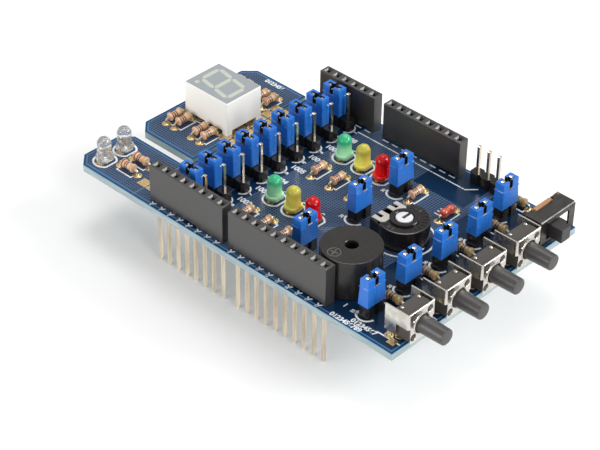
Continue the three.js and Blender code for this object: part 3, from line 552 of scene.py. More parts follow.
def bent_leads(body_half):
    """Both leads of an axial part: out of the body, round a bend and down through the board."""
    bm = bmesh.new()
    start = Matrix.Translation((body_half - LEAD_BEND / 2, 0, RESISTOR_HEIGHT)) @ ON_SIDE
    ring = bmesh.ops.create_circle(bm, segments=10, radius=LEAD_RADIUS, matrix=start)["verts"]
    edges = list(dict.fromkeys(e for v in ring for e in v.link_edges))
    foot = RESISTOR_SPAN / 2

    def pull(edges, vec):
        out = bmesh.ops.extrude_edge_only(bm, edges=edges)["geom"]
        shift(bm, out, vec)
        return [part for part in out if isinstance(part, bmesh.types.BMEdge)]

    edges = pull(edges, (foot - LEAD_BEND - body_half + LEAD_BEND / 2, 0, 0))
    turn = bmesh.ops.spin(bm, geom=edges, cent=(foot - LEAD_BEND, 0, RESISTOR_HEIGHT - LEAD_BEND),
                          axis=(0, 1, 0), dvec=(0, 0, 0), angle=math.pi / 2, steps=5, use_merge=False)
    edges = [part for part in turn["geom_last"] if isinstance(part, bmesh.types.BMEdge)]
    pull(edges, (0, 0, -RESISTOR_HEIGHT + LEAD_BEND - BOARD_THICK / 2))
    bmesh.ops.mirror(bm, geom=bm.verts[:] + bm.edges[:] + bm.faces[:], axis="X", merge_dist=WELD)
    bmesh.ops.remove_doubles(bm, verts=bm.verts, dist=WELD)
    bmesh.ops.recalc_face_normals(bm, faces=bm.faces)
    return bm


def resistor():
    """One resistor along X: its body is painted by the rings' places, its leads come last."""
    half = RESISTOR_LENGTH / 2
    flat, shoulder = (RESISTOR_CAP * share for share in CAP_SHARES)
    cap = [(0, half), (flat, half), (shoulder, half - CAP_ROUND)]
    profile = [(radius, -along) for radius, along in cap]
    for i in range(RESISTOR_STEPS + 1):
        along = CAP_SHOULDER - half + (RESISTOR_LENGTH - 2 * CAP_SHOULDER) * i / RESISTOR_STEPS
        from_flat = half - abs(along) - RESISTOR_END * RESISTOR_END_FLAT_SHARE
        share = min(1, max(0, from_flat / (RESISTOR_END * (1 - RESISTOR_END_FLAT_SHARE))))
        ease = share * share * (3 - 2 * share)
        profile.append((RESISTOR_CAP + (RESISTOR_WAIST - RESISTOR_CAP) * ease, along))
    bm = turned(profile + cap[::-1], 20)
    for index, place in enumerate(BAND_PLACES):
        paint(bm, index + 1, lambda c: abs(c.z - place) < BAND_HALF)
    move(bm, Matrix.Translation((0, 0, RESISTOR_HEIGHT)) @ ON_SIDE)
    join(bm, paint(bent_leads(half), 5))
    return bm


tan_body = lacquer("resistor_tan", BODY_TAN, BODY_TAN_DARK)
olive_body = lacquer("resistor_olive", BODY_OLIVE, BODY_OLIVE_DARK)
band = {name: lacquer("band_" + name, color, color) for name, color in BAND_COLOURS.items()}
lead_metal = metal("tinned_lead", LEAD_TIN, LEAD_TIN_DULL, 0.3)
low_value = [tan_body, band["red"], band["brown"], band["brown"], band["gold"], lead_metal]
high_value = [olive_body, band["brown"], band["black"], band["black"], band["gold"], lead_metal]

resistor_places = [(FINGER_RESISTOR_X, y, 0, low_value) for y in FINGER_RESISTOR_ROWS]
resistor_places.append((*LONE_RESISTOR, 90, low_value))
for y in TONGUE_RESISTOR_ROWS:
    resistor_places += [(x, y, 90, low_value) for x in TONGUE_RESISTOR_COLUMNS]
for i in range(3):
    x = LAMP_RESISTOR_FIRST + LAMP_RESISTOR_PITCH * i
    resistor_places += [(x, y, 90, low_value) for y in LAMP_RESISTOR_ROWS]
for i in range(4):
    resistor_places.append((BUTTON_RESISTOR_X, BUTTON_RESISTOR_FIRST + BUTTON_PITCH * i, 0, high_value))
resistor_places.append((*SWITCH_RESISTOR, 0, high_value))

for number, (x, y, turn, finish) in enumerate(resistor_places, 1):
    make_piece(f"resistor_{number}", move(resistor(), at(x, y, 0, turn)), finish)
    reach = Matrix.Rotation(math.radians(turn), 2) @ Vector((RESISTOR_SPAN / 2, 0))
    for side in (-1, 1):
        solder_joint(x + side * reach.x, y + side * reach.y)

# The diode: a glass bead sealed over its die between two slugs, seen orange-red and pinched in the
# middle. It stands on bent leads like the resistors.
DIODE_LENGTH = 3.8 * MM
DIODE_RADIUS = 0.92 * MM
DIODE_SEAL = 0.3 * MM
DIODE_BLUNTNESS = 6
DIODE_STEPS = 32
DIODE_PLACE = (43.5 * MM, 35.95 * MM)
DIODE_PINCH_SHARE = 0.22
DIODE_PINCH_LENGTH = 0.3 * MM
DIODE_GLASS = (0.86, 0.13, 0.04)
DIODE_CORE = (0.60, 0.05, 0.02)

half = DIODE_LENGTH / 2
profile = [(0, -half)]
for i in range(DIODE_STEPS + 1):
    along = -half + DIODE_LENGTH * i / DIODE_STEPS
    end = math.sqrt(max(0, 1 - (abs(along) / half) ** DIODE_BLUNTNESS))
    pinch = 1 - DIODE_PINCH_SHARE * math.exp(-(along / DIODE_PINCH_LENGTH) ** 2)
    profile.append((max(DIODE_RADIUS * end * pinch, DIODE_SEAL), along))
bead = move(turned(profile + [(0, half)], 24), Matrix.Translation((0, 0, RESISTOR_HEIGHT)) @ ON_SIDE)
join(bead, paint(bent_leads(half), 1))
diode_glass = lacquer("diode_glass", DIODE_GLASS, DIODE_CORE, coat=1.0)
make_piece("diode", move(bead, at(*DIODE_PLACE, 0, 90)), [diode_glass, lead_metal])
for side in (-1, 1):
    solder_joint(DIODE_PLACE[0], DIODE_PLACE[1] + side * RESISTOR_SPAN / 2)

# Stackable socket strips: moulded black nylon with a funnel over every contact, standing on small
# feet. Each contact is stamped from gold-plated strip and ends in the long square pin below.
STRIPS = {"socket_header_near_8": 8, "socket_header_near_10": 10, "socket_header_far_6": 6,
          "socket_header_far_8": 8}
STRIP_WIDTH = 2.54 * MM
STRIP_STANDOFF = 0.45 * MM
STRIP_EDGE = 0.12 * MM
FUNNEL_MOUTH = 1.5 * MM
FUNNEL_THROAT = 0.85 * MM
FUNNEL_DEPTH = 0.36 * MM
SOCKET_DEPTH = 6.0 * MM
FOOT_LENGTH = 0.8 * MM
FOOT_COUNT = 4
FOOT_SINK = 0.02 * MM
FOOT_EDGE = 0.05 * MM
PIN_WIDTH = 0.64 * MM
PIN_TIP = 0.3 * MM
PIN_TIP_LENGTH = 0.7 * MM
PIN_BLUNT = 0.13 * MM
PIN_EDGE = 0.06 * MM
PIN_REACH = 14.6 * MM
LEAF_SHEET = 0.1 * MM
LEAF_HALF_WIDTH = 0.34 * MM
LEAF_LOW = 0.55 * MM
LEAF_CURVE = (  # how far each point stands out, in millimetres, and its share of the height
    (0.29, 0.0), (0.17, 0.3), (0.13, 0.55), (0.20, 0.8), (0.27, 0.93), (0.34, 1.0))
NYLON = (0.022, 0.020, 0.019)
NYLON_LIGHT = (0.040, 0.037, 0.035)
# the header bases' black, also laid in the hollows of the shunts and the buzzer as painted shade
BASE_BLACK_AND_HOLLOW_SHADE = (0.010, 0.009, 0.009)
BASE_BLACK_AND_HOLLOW_SHADE_LIGHT = (0.020, 0.018, 0.017)
HEADER_GOLD = (0.90, 0.80, 0.62)
PIN_GOLD = (0.70, 0.62, 0.48)
PIN_GOLD_DARK = (0.44, 0.37, 0.28)
DRAWN = (1, 1, 0.12)
GRAIN_DEPTH = 0.004 * MM

COLOUR, NUMBER, DIRECTION = "NodeSocketColor", "NodeSocketFloat", "NodeSocketVector"
moulded_skin = bpy.data.node_groups.new("moulded_skin", "ShaderNodeTree")
for name, kind in (("Color", COLOUR), ("Light Color", COLOUR), ("Grain Scale", NUMBER),
                   ("Grain Depth", NUMBER), ("Roughness", NUMBER), ("Spread", NUMBER)):
    moulded_skin.interface.new_socket(name=name, in_out="INPUT", socket_type=kind)
for name, kind in (("Color", COLOUR), ("Roughness", NUMBER), ("Normal", DIRECTION)):
    moulded_skin.interface.new_socket(name=name, in_out="OUTPUT", socket_type=kind)
given = moulded_skin.nodes.new("NodeGroupInput").outputs
taken = moulded_skin.nodes.new("NodeGroupOutput").inputs
flow = add_noise(moulded_skin, 220, 3)
grain = add_noise(moulded_skin, 1, 2)
moulded_skin.links.new(given["Grain Scale"], grain.node.inputs["Scale"])
speck = add_math(moulded_skin, "MULTIPLY", add_range(moulded_skin, grain, low=0.35, high=0.75),
                 add_range(moulded_skin, flow, 0.4))
swing = add_math(moulded_skin, "MULTIPLY", given["Spread"], add_range(moulded_skin, flow, -1))
raised = add_math(moulded_skin, "MULTIPLY", grain, given["Grain Depth"])
for value, socket in ((add_mix(moulded_skin, speck, given["Color"], given["Light Color"]), "Color"),
                      (add_math(moulded_skin, "ADD", given["Roughness"], swing), "Roughness"),
                      (add_bump(moulded_skin, raised, 1.0), "Normal")):
    moulded_skin.links.new(value, taken[socket])


def moulded(name, color, light, roughness, spread=0.06, scale=9000, depth=GRAIN_DEPTH, shine=0.5):
    """Injection-moulded plastic: the mould's fine grain, with flow marks in its gloss and colour."""
    material, tree, shader = new_material(name, {"Specular IOR Level": shine})
    skin = tree.nodes.new("ShaderNodeGroup")
    skin.node_tree = moulded_skin
    for socket, value in (("Color", (*color, 1)), ("Light Color", (*light, 1)), ("Grain Scale", scale),
                          ("Grain Depth", depth), ("Roughness", roughness), ("Spread", spread)):
        skin.inputs[socket].default_value = value
    for output, socket in (("Color", "Base Color"), ("Roughness", "Roughness"), ("Normal", "Normal")):
        tree.links.new(skin.outputs[output], shader.inputs[socket])
    return material


black_nylon = moulded("black_nylon", NYLON, NYLON_LIGHT, 0.36, shine=0.9)
funnel_black = moulded("funnel_black", NYLON, NYLON_LIGHT, 0.30, 0.03, shine=0.6)
base_black_and_hollow_shade = moulded("base_black_and_hollow_shade", BASE_BLACK_AND_HOLLOW_SHADE, BASE_BLACK_AND_HOLLOW_SHADE_LIGHT, 0.22, shine=0.4)
pin_gold = metal("pin_gold", PIN_GOLD, PIN_GOLD_DARK, 0.20, stretch=DRAWN)
header_gold = metal("header_gold", HEADER_GOLD, PIN_GOLD, 0.20, stretch=DRAWN)


def square_turned(profile):
    """A four-sided profile with its flats square to the grid, given by half widths and heights."""
    bm = turned([(half * math.sqrt(2), z) for half, z in profile], 4)
    return move(bm, Matrix.Rotation(math.pi / 4, 4, "Z"))


def square_pin(low, high, pointed):
    """A square pin, pointed below and cut off above, or cut off below and blunted above."""
    half, tip = PIN_WIDTH / 2, PIN_TIP / 2
    if pointed:
        profile = [(0, low), (tip, low), (half, low + PIN_TIP_LENGTH), (half, high), (0, high)]
    else:
        profile = [(0, low), (half, low), (half, high - PIN_BLUNT), (half - PIN_BLUNT / 2, high), (0, high)]
    bm = square_turned(profile)
    upright = [e for e in bm.edges if abs(e.verts[0].co.z - e.verts[1].co.z) > 2 * PIN_TIP_LENGTH]
    bevel(bm, upright, PIN_EDGE)
    return bm


def socket_cell(low_x, high_x):
    """The lining of one funnel and its square well, with the part of the top face round it."""
    mouth, throat, side = FUNNEL_MOUTH / 2, FUNNEL_THROAT / 2, STRIP_WIDTH / 2 - STRIP_EDGE
    floor, ledge = STRIP_TOP - SOCKET_DEPTH, STRIP_TOP - FUNNEL_DEPTH
    cell = square_turned([(0, floor), (throat, floor), (throat, ledge), (mouth, STRIP_TOP),
                          (PITCH / 2, STRIP_TOP)])
    for vert in cell.verts:
        if vert.co.z > STRIP_TOP - 10 * WELD and abs(vert.co.y) > mouth + 10 * WELD:
            vert.co.x = min(max(vert.co.x, low_x), high_x)
            vert.co.y = math.copysign(side, vert.co.y)
    return cell


def socket_strip(count):
    """The moulding: side walls, ends, underside and feet round a row of funnels."""
    length, half = count * PITCH, STRIP_WIDTH / 2
    bm = box((-PITCH / 2, -half, STRIP_STANDOFF), (length - PITCH / 2, half, STRIP_TOP), STRIP_EDGE)
    high = STRIP_TOP - STRIP_EDGE / 2
    top = [f for f in bm.faces if f.normal.z > 0.99 and f.calc_center_median().z > high]
    bmesh.ops.delete(bm, geom=top, context="FACES_ONLY")
    for i in range(count):
        first, last = i == 0, i == count - 1
        cell = socket_cell(STRIP_EDGE * first - PITCH / 2, PITCH / 2 - STRIP_EDGE * last)
        join(bm, cell, at(i * PITCH, 0))
    bmesh.ops.remove_doubles(bm, verts=bm.verts, dist=10 * WELD)
    bmesh.ops.recalc_face_normals(bm, faces=bm.faces)
    paint(bm, 2, lambda c: abs(c.y) < FUNNEL_MOUTH / 2
          and STRIP_TOP - FUNNEL_DEPTH < c.z < STRIP_TOP - STRIP_EDGE)
    for i in range(FOOT_COUNT):
        low = -PITCH / 2 + i * (length - FOOT_LENGTH) / (FOOT_COUNT - 1)
        foot = box((low, -half, 0), (low + FOOT_LENGTH, half, STRIP_STANDOFF + FOOT_SINK), FOOT_EDGE)
        join(bm, foot)
    return bm


def spring_contact():
    """Two sprung leaves inside the well, bowed towards each other and flared out under the mouth."""
    bm = bmesh.new()
    low, high = STRIP_TOP - SOCKET_DEPTH, STRIP_TOP - LEAF_LOW
    steps = len(LEAF_CURVE) - 1
    for side in (-1, 1):
        leaf = bmesh.new()
        bmesh.ops.create_grid(leaf, x_segments=1, y_segments=steps, size=0.5)
        for vert in leaf.verts:
            out, up = LEAF_CURVE[round((vert.co.y + 0.5) * steps)]
            vert.co = (side * out * MM, 2 * vert.co.x * LEAF_HALF_WIDTH, low + up * (high - low))
        bmesh.ops.recalc_face_normals(leaf, faces=leaf.faces)
        bmesh.ops.solidify(leaf, geom=leaf.faces[:], thickness=LEAF_SHEET * side)
        join(bm, leaf)
    bmesh.ops.recalc_face_normals(bm, faces=bm.faces)
    return bm


def node_start(node):
    """Where the first way of a strip or header stands in plan, on the connector grid."""
    low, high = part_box(node)
    return low.x + PITCH / 2 - ORIGIN.x, (low.y + high.y) / 2 - ORIGIN.y


for node, count in STRIPS.items():
    x, y = node_start(node)
    strip = socket_strip(count)
    for i in range(count):
        join(strip, paint(square_pin(-PIN_REACH, STRIP_STANDOFF, True), 1), at(i * PITCH, 0))
        join(strip, paint(spring_contact(), 3), at(i * PITCH, 0))
        solder_joint(x + i * PITCH, y, tail=False, ringed=False)
    make_piece(node.replace("socket_header", "socket_strip"), move(strip, at(x, y)),
               [black_nylon, pin_gold, funnel_black, header_gold],
               replaces=[node], sharp=25)

# Pin headers: a low moulded base, notched between its ways so that it can be snapped to length, with
# gold-plated square pins pressed through it. Ten have three ways, one of them bare. Eight have two.
BASE_HEIGHT = 2.54 * MM
BASE_WIDTH = 2.5 * MM
BASE_NOTCH = 0.5 * MM
BASE_EDGE = 0.07 * MM
JUMPER_PIN_TOP = 8.6 * MM


def header_outline(count):
    """The base in plan: straight flats between V notches, corners cut back."""
    half, low = BASE_WIDTH / 2, -PITCH / 2
    near, far = [], []
    for i in range(count):
        start, end = low + i * PITCH, low + (i + 1) * PITCH
        for x, inset in ((start, BASE_NOTCH), (start + BASE_NOTCH, 0), (end - BASE_NOTCH, 0)):
            near.append((x, inset - half))
            far.append((x, half - inset))
    end = low + count * PITCH
    return near + [(end, BASE_NOTCH - half), (end, half - BASE_NOTCH)] + far[::-1]


def place_header(name, count, place, replaces=()):
    bm = prism(header_outline(count), 0, BASE_HEIGHT)
    bevel(bm, [e for e in bm.edges if abs(e.verts[0].co.z - e.verts[1].co.z) < WELD], BASE_EDGE)
    for i in range(count):
        pin = square_pin(-BOARD_THICK - LEAD_TAIL, JUMPER_PIN_TOP, False)
        join(bm, paint(pin, 1), at(i * PITCH, 0))
        foot = place @ Vector((i * PITCH, 0, 0))
        solder_joint(foot.x, foot.y, tail=False)
    make_piece(name, move(bm, place), [base_black_and_hollow_shade, header_gold],
               replaces=replaces, sharp=25)


def middle_of(node):
    """The middle of a node's box, on the connector grid."""
    low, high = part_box(node)
    return (low + high) / 2 - ORIGIN


for node in [f"row_header_{i}" for i in range(1, 10)] + ["free_header"]:
    place_header(node + "_pins", 3, at(*node_start(node)), [node])
jumpers = [(row, i) for row, count in (("mid", 3), ("side", 5)) for i in range(1, count + 1)]
for row, i in jumpers:
    middle = middle_of(f"{row}_shunt_{i}")
    place_header(f"two_way_header_{row}_{i}", 2, at(middle.x, middle.y - PITCH / 2, 0, 90))

# Jumper shunts: a smooth blue moulding, drawn in above a shoulder, pushed over two pins, with black painted
# shade in its wells and notch. A sprung contact inside joins them and shows in the notch. Each one pulls
# straight off.
SHUNT_EDGE = 0.06 * MM
SHUNT_UPPER = 1.6 * MM
SHUNT_SHOULDER = 0.20 * MM
SHUNT_SHORTER = 0.35 * MM
SHUNT_NOTCH_HALF = 0.45 * MM
SHUNT_NOTCH_DEPTH = 1.7 * MM
SHUNT_NOTCH_POINT = 0.3 * MM
SHUNT_WELL = 0.42 * MM
SHUNT_SLOT_DEPTH = 1.25 * MM
SHUNT_BLUE = (0.014, 0.130, 0.500)
SHUNT_BLUE_LIGHT = (0.030, 0.180, 0.590)
SHUNT_GRAIN = 0.003 * MM
# the contact's metal, darkened as painted shade inside the notch
CONTACT_SILVER_IN_SHADE = (0.34, 0.32, 0.29)
CONTACT_SILVER_IN_SHADE_DARK = (0.20, 0.19, 0.17)
CONTACT_HALF = 0.26 * MM
CONTACT_TOP = 1.05 * MM
CONTACT_SHEET = 0.2 * MM


def built_of_cells(xs, ys, zs, solid):
    """The skin of those cells of a grid whose middles pass a test."""
    bm = bmesh.new()
    verts = {}

    def corner(i, j, k):
        if (i, j, k) not in verts:
            verts[i, j, k] = bm.verts.new((xs[i], ys[j], zs[k]))
        return verts[i, j, k]

    def full(i, j, k):
        inside = 0 <= i < len(xs) - 1 and 0 <= j < len(ys) - 1 and 0 <= k < len(zs) - 1
        return inside and solid((xs[i] + xs[i + 1]) / 2, (ys[j] + ys[j + 1]) / 2, (zs[k] + zs[k + 1]) / 2)

    cells = [(i, j, k) for i in range(len(xs) - 1) for j in range(len(ys) - 1) for k in range(len(zs) - 1)]
    for cell in cells:
        for axis, step in [(axis, step) for axis in range(3) for step in (0, 1)] if full(*cell) else ():
            beside, base = list(cell), list(cell)
            beside[axis] += 2 * step - 1
            base[axis] += step
            if full(*beside):
                continue
            u, v = [a for a in range(3) if a != axis]
            ring = []
            for du, dv in ((0, 0), (1, 0), (1, 1), (0, 1)):
                place = list(base)
                place[u] += du
                place[v] += dv
                ring.append(corner(*place))
            bm.faces.new(ring)
    bmesh.ops.recalc_face_normals(bm, faces=bm.faces)
    return bm


def dissolve_flats(bm, least):
    bmesh.ops.dissolve_limit(bm, angle_limit=math.radians(least), verts=bm.verts, edges=bm.edges)


def round_edges(bm, offset, segments, least):
    """Rounds the edges between two faces that turn by more than an angle in degrees."""
    turning = math.radians(least)
    edges = [e for e in bm.edges if len(e.link_faces) == 2 and e.calc_face_angle(0) > turning]
    bevel(bm, edges, offset, segments)


def shunt_cap(length, width, height):
    """The moulding by its half length and half width: two wells, a slot between, and the notch."""
    shoulder = height - SHUNT_UPPER
    notch_floor, slot_floor = height - SHUNT_NOTCH_DEPTH, height - SHUNT_SLOT_DEPTH
    well_in, well_out = PITCH / 2 - SHUNT_WELL, PITCH / 2 + SHUNT_WELL

    def moulding(x, y, z):
        in_well = abs(abs(x) - PITCH / 2) < SHUNT_WELL or (abs(x) < PITCH / 2 and z > slot_floor)
        in_notch = abs(x) < SHUNT_NOTCH_HALF and z > notch_floor
        return not (in_notch or (abs(y) < SHUNT_WELL and in_well))

    steps = (SHUNT_NOTCH_HALF, well_in, well_out, length)
    bm = built_of_cells([-x for x in steps[::-1]] + [0, *steps], [-width, -SHUNT_WELL, SHUNT_WELL, width],
                        [0, notch_floor, shoulder - SHUNT_SHOULDER, shoulder, slot_floor, height], moulding)
    for vert in bm.verts:
        if vert.co.z > shoulder - SHUNT_SHOULDER / 2:
            if abs(vert.co.y) > width - SHUNT_SHOULDER:
                vert.co.y -= math.copysign(SHUNT_SHOULDER, vert.co.y)
            if abs(vert.co.x) > length - SHUNT_SHOULDER:
                vert.co.x -= math.copysign(SHUNT_SHOULDER, vert.co.x)
        if abs(vert.co.x) < SHUNT_EDGE and abs(vert.co.z - notch_floor) < SHUNT_EDGE:
            vert.co.z -= SHUNT_NOTCH_POINT
    dissolve_flats(bm, 2)
    round_edges(bm, SHUNT_EDGE, 2, 40)
    top = height - SHUNT_EDGE
    # the wells, the slot and the notch of the blue moulding take the black as painted shade
    paint(bm, 1, lambda c: abs(c.x) < well_out and abs(c.y) < SHUNT_WELL + SHUNT_EDGE and c.z < top)
    paint(bm, 1, lambda c: abs(c.x) < SHUNT_NOTCH_HALF + SHUNT_EDGE / 2 and abs(c.y) < width - SHUNT_EDGE
          and notch_floor - SHUNT_NOTCH_POINT < c.z < top)
    return bm


def shunt_contact(height):
    """A bridge between the pins with a leaf down each well."""
    reach, top = PITCH / 2 - PIN_WIDTH / 2, height - CONTACT_TOP
    half_sheet = CONTACT_SHEET / 4
    bm = box((-reach, -CONTACT_HALF, top - CONTACT_SHEET), (reach, CONTACT_HALF, top), CONTACT_SHEET / 3)
    for x in (-reach, reach):
        join(bm, box((x - half_sheet, -CONTACT_HALF, CONTACT_SHEET), (x + half_sheet, CONTACT_HALF, top),
                     half_sheet / 2))
    return bm


shunt_blue = moulded("shunt_blue", SHUNT_BLUE, SHUNT_BLUE_LIGHT, 0.30, 0.05, 5000, SHUNT_GRAIN)
# the contact inside the notch is darkened as painted shade
shaded_contact_silver = metal("shaded_contact_silver", CONTACT_SILVER_IN_SHADE, CONTACT_SILVER_IN_SHADE_DARK, 0.24)
for node in [f"{row}_shunt_{i}" for row, i in [("row", i) for i in range(1, 10)] + jumpers]:
    low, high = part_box(node)
    middle, size = middle_of(node), high - low
    height = size.z if node.startswith("row") else size.z - SHUNT_SHORTER
    length, width = max(size.x, size.y) / 2, min(size.x, size.y) / 2
    place = at(middle.x, middle.y, low.z - ORIGIN.z, 90 if size.y > size.x else 0)
    make_piece(node + "_cap", move(shunt_cap(length, width, height), place), [shunt_blue, base_black_and_hollow_shade],
               body=node, replaces=[node], sharp=25)
    make_piece(node + "_contact", move(shunt_contact(height), place), [shaded_contact_silver],
               body=node, sharp=25)

# Seven-segment display: a white moulded reflector shell on short feet. Grey-blue resin fills it from
# behind and shows cream segments in the painted face. It is soldered by ten pins.
DISPLAY_FACE_DEPTH = 0.8 * MM
DISPLAY_LENGTH = 12.45 * MM
DISPLAY_WIDTH = 9.85 * MM
DISPLAY_TOP = 8.0 * MM
DISPLAY_STANDOFF = 0.95 * MM
DISPLAY_WALL = 0.7 * MM
DISPLAY_EDGE = 0.12 * MM
DISPLAY_FOOT = 1.5 * MM
DISPLAY_MID_FOOT = 1.0 * MM
PAINT_INSET = 0.12 * MM
PAINT_RISE = 0.02 * MM
DIGIT_HEIGHT = 10.0 * MM
DIGIT_WIDTH = 6.2 * MM
DIGIT_SHIFT = 0.1 * MM
DIGIT_SLANT = math.tan(math.radians(9.6))
SEGMENT_WIDTH = 1.05 * MM
SEGMENT_GAP = 0.25 * MM
SEGMENT_RISE = 0.03 * MM
SEGMENT_EDGE = 0.05 * MM
POINT_PLACE = (-4.3 * MM, -3.22 * MM)
POINT_RADIUS = 0.55 * MM
DISPLAY_PIN_PITCH = 2.54 * MM
DISPLAY_PIN_ROWS = 7.62 * MM
DISPLAY_WHITE = (0.88, 0.86, 0.79)
DISPLAY_WHITE_LIGHT = (0.91, 0.89, 0.84)
FACE_GREY = (0.290, 0.317, 0.335)
FACE_GREY_LIGHT = (0.315, 0.342, 0.360)
SEGMENT_CREAM = (0.48, 0.50, 0.42)
SEGMENT_CREAM_LIGHT = (0.54, 0.56, 0.48)
CASE_GRAIN = 0.003 * MM

low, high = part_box("display_shell")
display_place = Vector((*((low + high) / 2).xy, high.z - DISPLAY_TOP)) - ORIGIN


def sheet(outlines, low, high, edge=0.0, segments=1):
    """A plate with holes, raised between two heights, with its sharp edges eased."""
    bm = bmesh.new()
    for points in outlines:
        verts = [bm.verts.new((x, y, 0)) for x, y in points]
        for a, b in zip(verts, verts[1:] + verts[:1]):
            bm.edges.new((a, b))
    bmesh.ops.triangle_fill(bm, edges=bm.edges[:], use_beauty=True, use_dissolve=False)
    raised = bmesh.ops.extrude_face_region(bm, geom=bm.faces[:], use_keep_orig=True)["geom"]
    shift(bm, raised, (0, 0, high - low))
    bmesh.ops.recalc_face_normals(bm, faces=bm.faces)
    shift(bm, bm.verts, (0, 0, low))
    if edge:
        round_edges(bm, edge, segments, 50)
    return bm


def rectangle(low_x, low_y, high_x, high_y):
    return [(low_x, low_y), (high_x, low_y), (high_x, high_y), (low_x, high_y)]


def circle(radius, x, y, sides=24):
    return [(x + radius * math.cos(math.tau * i / sides), y + radius * math.sin(math.tau * i / sides))
            for i in range(sides)]


def segment_outline(x, y, length, along_x):
    """A bar with pointed ends, sheared to the digit's slant."""
    end, side = length / 2, SEGMENT_WIDTH / 2
    bar = [(-end, 0), (side - end, -side), (end - side, -side),
           (end, 0), (end - side, side), (side - end, side)]
    placed = []
    for along, across in bar:
        u, v = (along, across) if along_x else (across, -along)
        placed.append((x + u, y + v - DIGIT_SLANT * (x + u)))
    return placed


def digit_outlines():
    """The seven segments of the figure and the point beside it."""
    reach = (DIGIT_HEIGHT - SEGMENT_WIDTH) / 2
    side = (DIGIT_WIDTH - SEGMENT_WIDTH) / 2
    bars = [segment_outline(x, DIGIT_SHIFT, 2 * side - SEGMENT_GAP, False) for x in (-reach, 0, reach)]
    for x in (-reach / 2, reach / 2):
        for y in (DIGIT_SHIFT - side, DIGIT_SHIFT + side):
            bars.append(segment_outline(x, y, reach - SEGMENT_GAP, True))
    return bars + [circle(POINT_RADIUS, *POINT_PLACE)]


def in_display_shell(x, y, z):
    """The block, its square feet at the corners and a short one in the middle of each long side."""
    to_end, to_side = half_x - abs(x), half_y - abs(y)
    mid_foot = abs(x) < DISPLAY_MID_FOOT / 2 and to_side < DISPLAY_WALL
    return z > DISPLAY_STANDOFF or max(to_end, to_side) < DISPLAY_FOOT or mid_foot


def leg_profile(half, top):
    """A straight leg from its cut end under the board up to a height, as half widths and heights."""
    low = -BOARD_THICK - LEAD_TAIL
    return [(0, low), (half, low), (half, top), (0, top)]


half_x, half_y = DISPLAY_LENGTH / 2, DISPLAY_WIDTH / 2
across_feet = [DISPLAY_MID_FOOT / 2, half_x - DISPLAY_FOOT, half_x]
along_feet = [half_y - DISPLAY_FOOT, half_y - DISPLAY_WALL, half_y]
shell = built_of_cells([-x for x in across_feet[::-1]] + across_feet,
                       [-y for y in along_feet[::-1]] + along_feet,
                       [0, DISPLAY_STANDOFF, DISPLAY_TOP], in_display_shell)
dissolve_flats(shell, 2)
round_edges(shell, DISPLAY_EDGE, 3, 40)
paint_x, paint_y = half_x - PAINT_INSET, half_y - PAINT_INSET
face = sheet([rectangle(-paint_x, -paint_y, paint_x, paint_y)], DISPLAY_TOP - PAINT_RISE,
             DISPLAY_TOP + PAINT_RISE / 2)
join(shell, paint(face, 1))
segments = bmesh.new()
low, high = DISPLAY_TOP - DISPLAY_FACE_DEPTH, DISPLAY_TOP + SEGMENT_RISE
for outline in digit_outlines():
    join(segments, sheet([outline], low, high, SEGMENT_EDGE))
for y in (-DISPLAY_PIN_ROWS / 2, DISPLAY_PIN_ROWS / 2):
    for i in range(5):
        x = (i - 2) * DISPLAY_PIN_PITCH
        pin = square_turned(leg_profile(LEAD_RADIUS, 2 * DISPLAY_STANDOFF))
        join(segments, paint(pin, 1), at(x, y))
        solder_joint(display_place.x + x, display_place.y + y, tail=False)
place = Matrix.Translation(display_place)
display_white = moulded("display_white", DISPLAY_WHITE, DISPLAY_WHITE_LIGHT, 0.42, 0.05, 6000, CASE_GRAIN)
display_face = moulded("display_face", FACE_GREY, FACE_GREY_LIGHT, 0.40, 0.05, 4000)
segment_cream = moulded("segment_cream", SEGMENT_CREAM, SEGMENT_CREAM_LIGHT, 0.35, 0.05, 1500, CASE_GRAIN)
make_piece("display_case", move(shell, place), [display_white, display_face],
           replaces=["display_shell"])
make_piece("display_segments", move(segments, place), [segment_cream, lead_metal],
           replaces=["display_resin"])

# Round lamps, 3 mm across: a cast epoxy lens with a domed end and a flange, on two stamped legs that
# carry the cup and the die. Six are tinted and diffused; the two on the finger are water clear.
LAMP_RADIUS = 1.5 * MM
LAMP_FLANGE_RADIUS = 1.9 * MM
LAMP_FLANGE = 1.0 * MM
LAMP_HEIGHT = 5.3 * MM
LAMP_STANDOFF = 0.4 * MM
LAMP_ROUND = 0.12 * MM
LAMP_DOME_STEPS = 12
LAMP_LEG = 0.25 * MM
LAMP_LEG_PITCH = 2.54 * MM
LAMP_LEG_SINK = 0.1 * MM
LAMP_FOOT_SHARES = (0.7, 0.75)
POST_X = 0.55 * MM
POST_HALF = 0.28 * MM
POST_RISE = 0.1 * MM
FRAME_EDGE = 0.05 * MM
CUP_HEIGHT = 3.2 * MM
CUP_DEPTH = 0.5 * MM
CUP_X = -0.25 * MM
CUP_PROFILE = (  # radii, and heights from CUP_HEIGHT, in millimetres
    (0, -0.5), (0.35, -0.5), (0.6, 0.15), (0.52, 0.15), (0.26, -0.25), (0, -0.25))
LAMP_TINTS = {  # the colour darkened by painted shade in the dome, and the colour lightened by painted light through the rest
    "green": ((0.04, 0.42, 0.21), (0.52, 0.98, 0.62)),
    "yellow": ((0.46, 0.42, 0.06), (1.00, 0.92, 0.17)),
    "red": ((0.50, 0.002, 0.004), (1.00, 0.002, 0.003)),
}
TINT_SHARES = (0.30, 0.78)
TINT_CLOUD = 0.12
RESIN_BLUR = 0.6 * MM
FOOT_SHADE = (0.10, 0.08, 0.03)
FOOT_SHADE_SHARE = 0.25
FOOT_SHADE_REACH = 1.1 * LAMP_FLANGE
CLEAR = (0.93, 0.94, 0.95)
CLEAR_LIGHT = (0.97, 0.97, 0.98)
CLEAR_RELIEF = 0.01 * MM
LAMP_STEEL = (0.70, 0.64, 0.52)
LAMP_STEEL_DULL = (0.55, 0.48, 0.36)


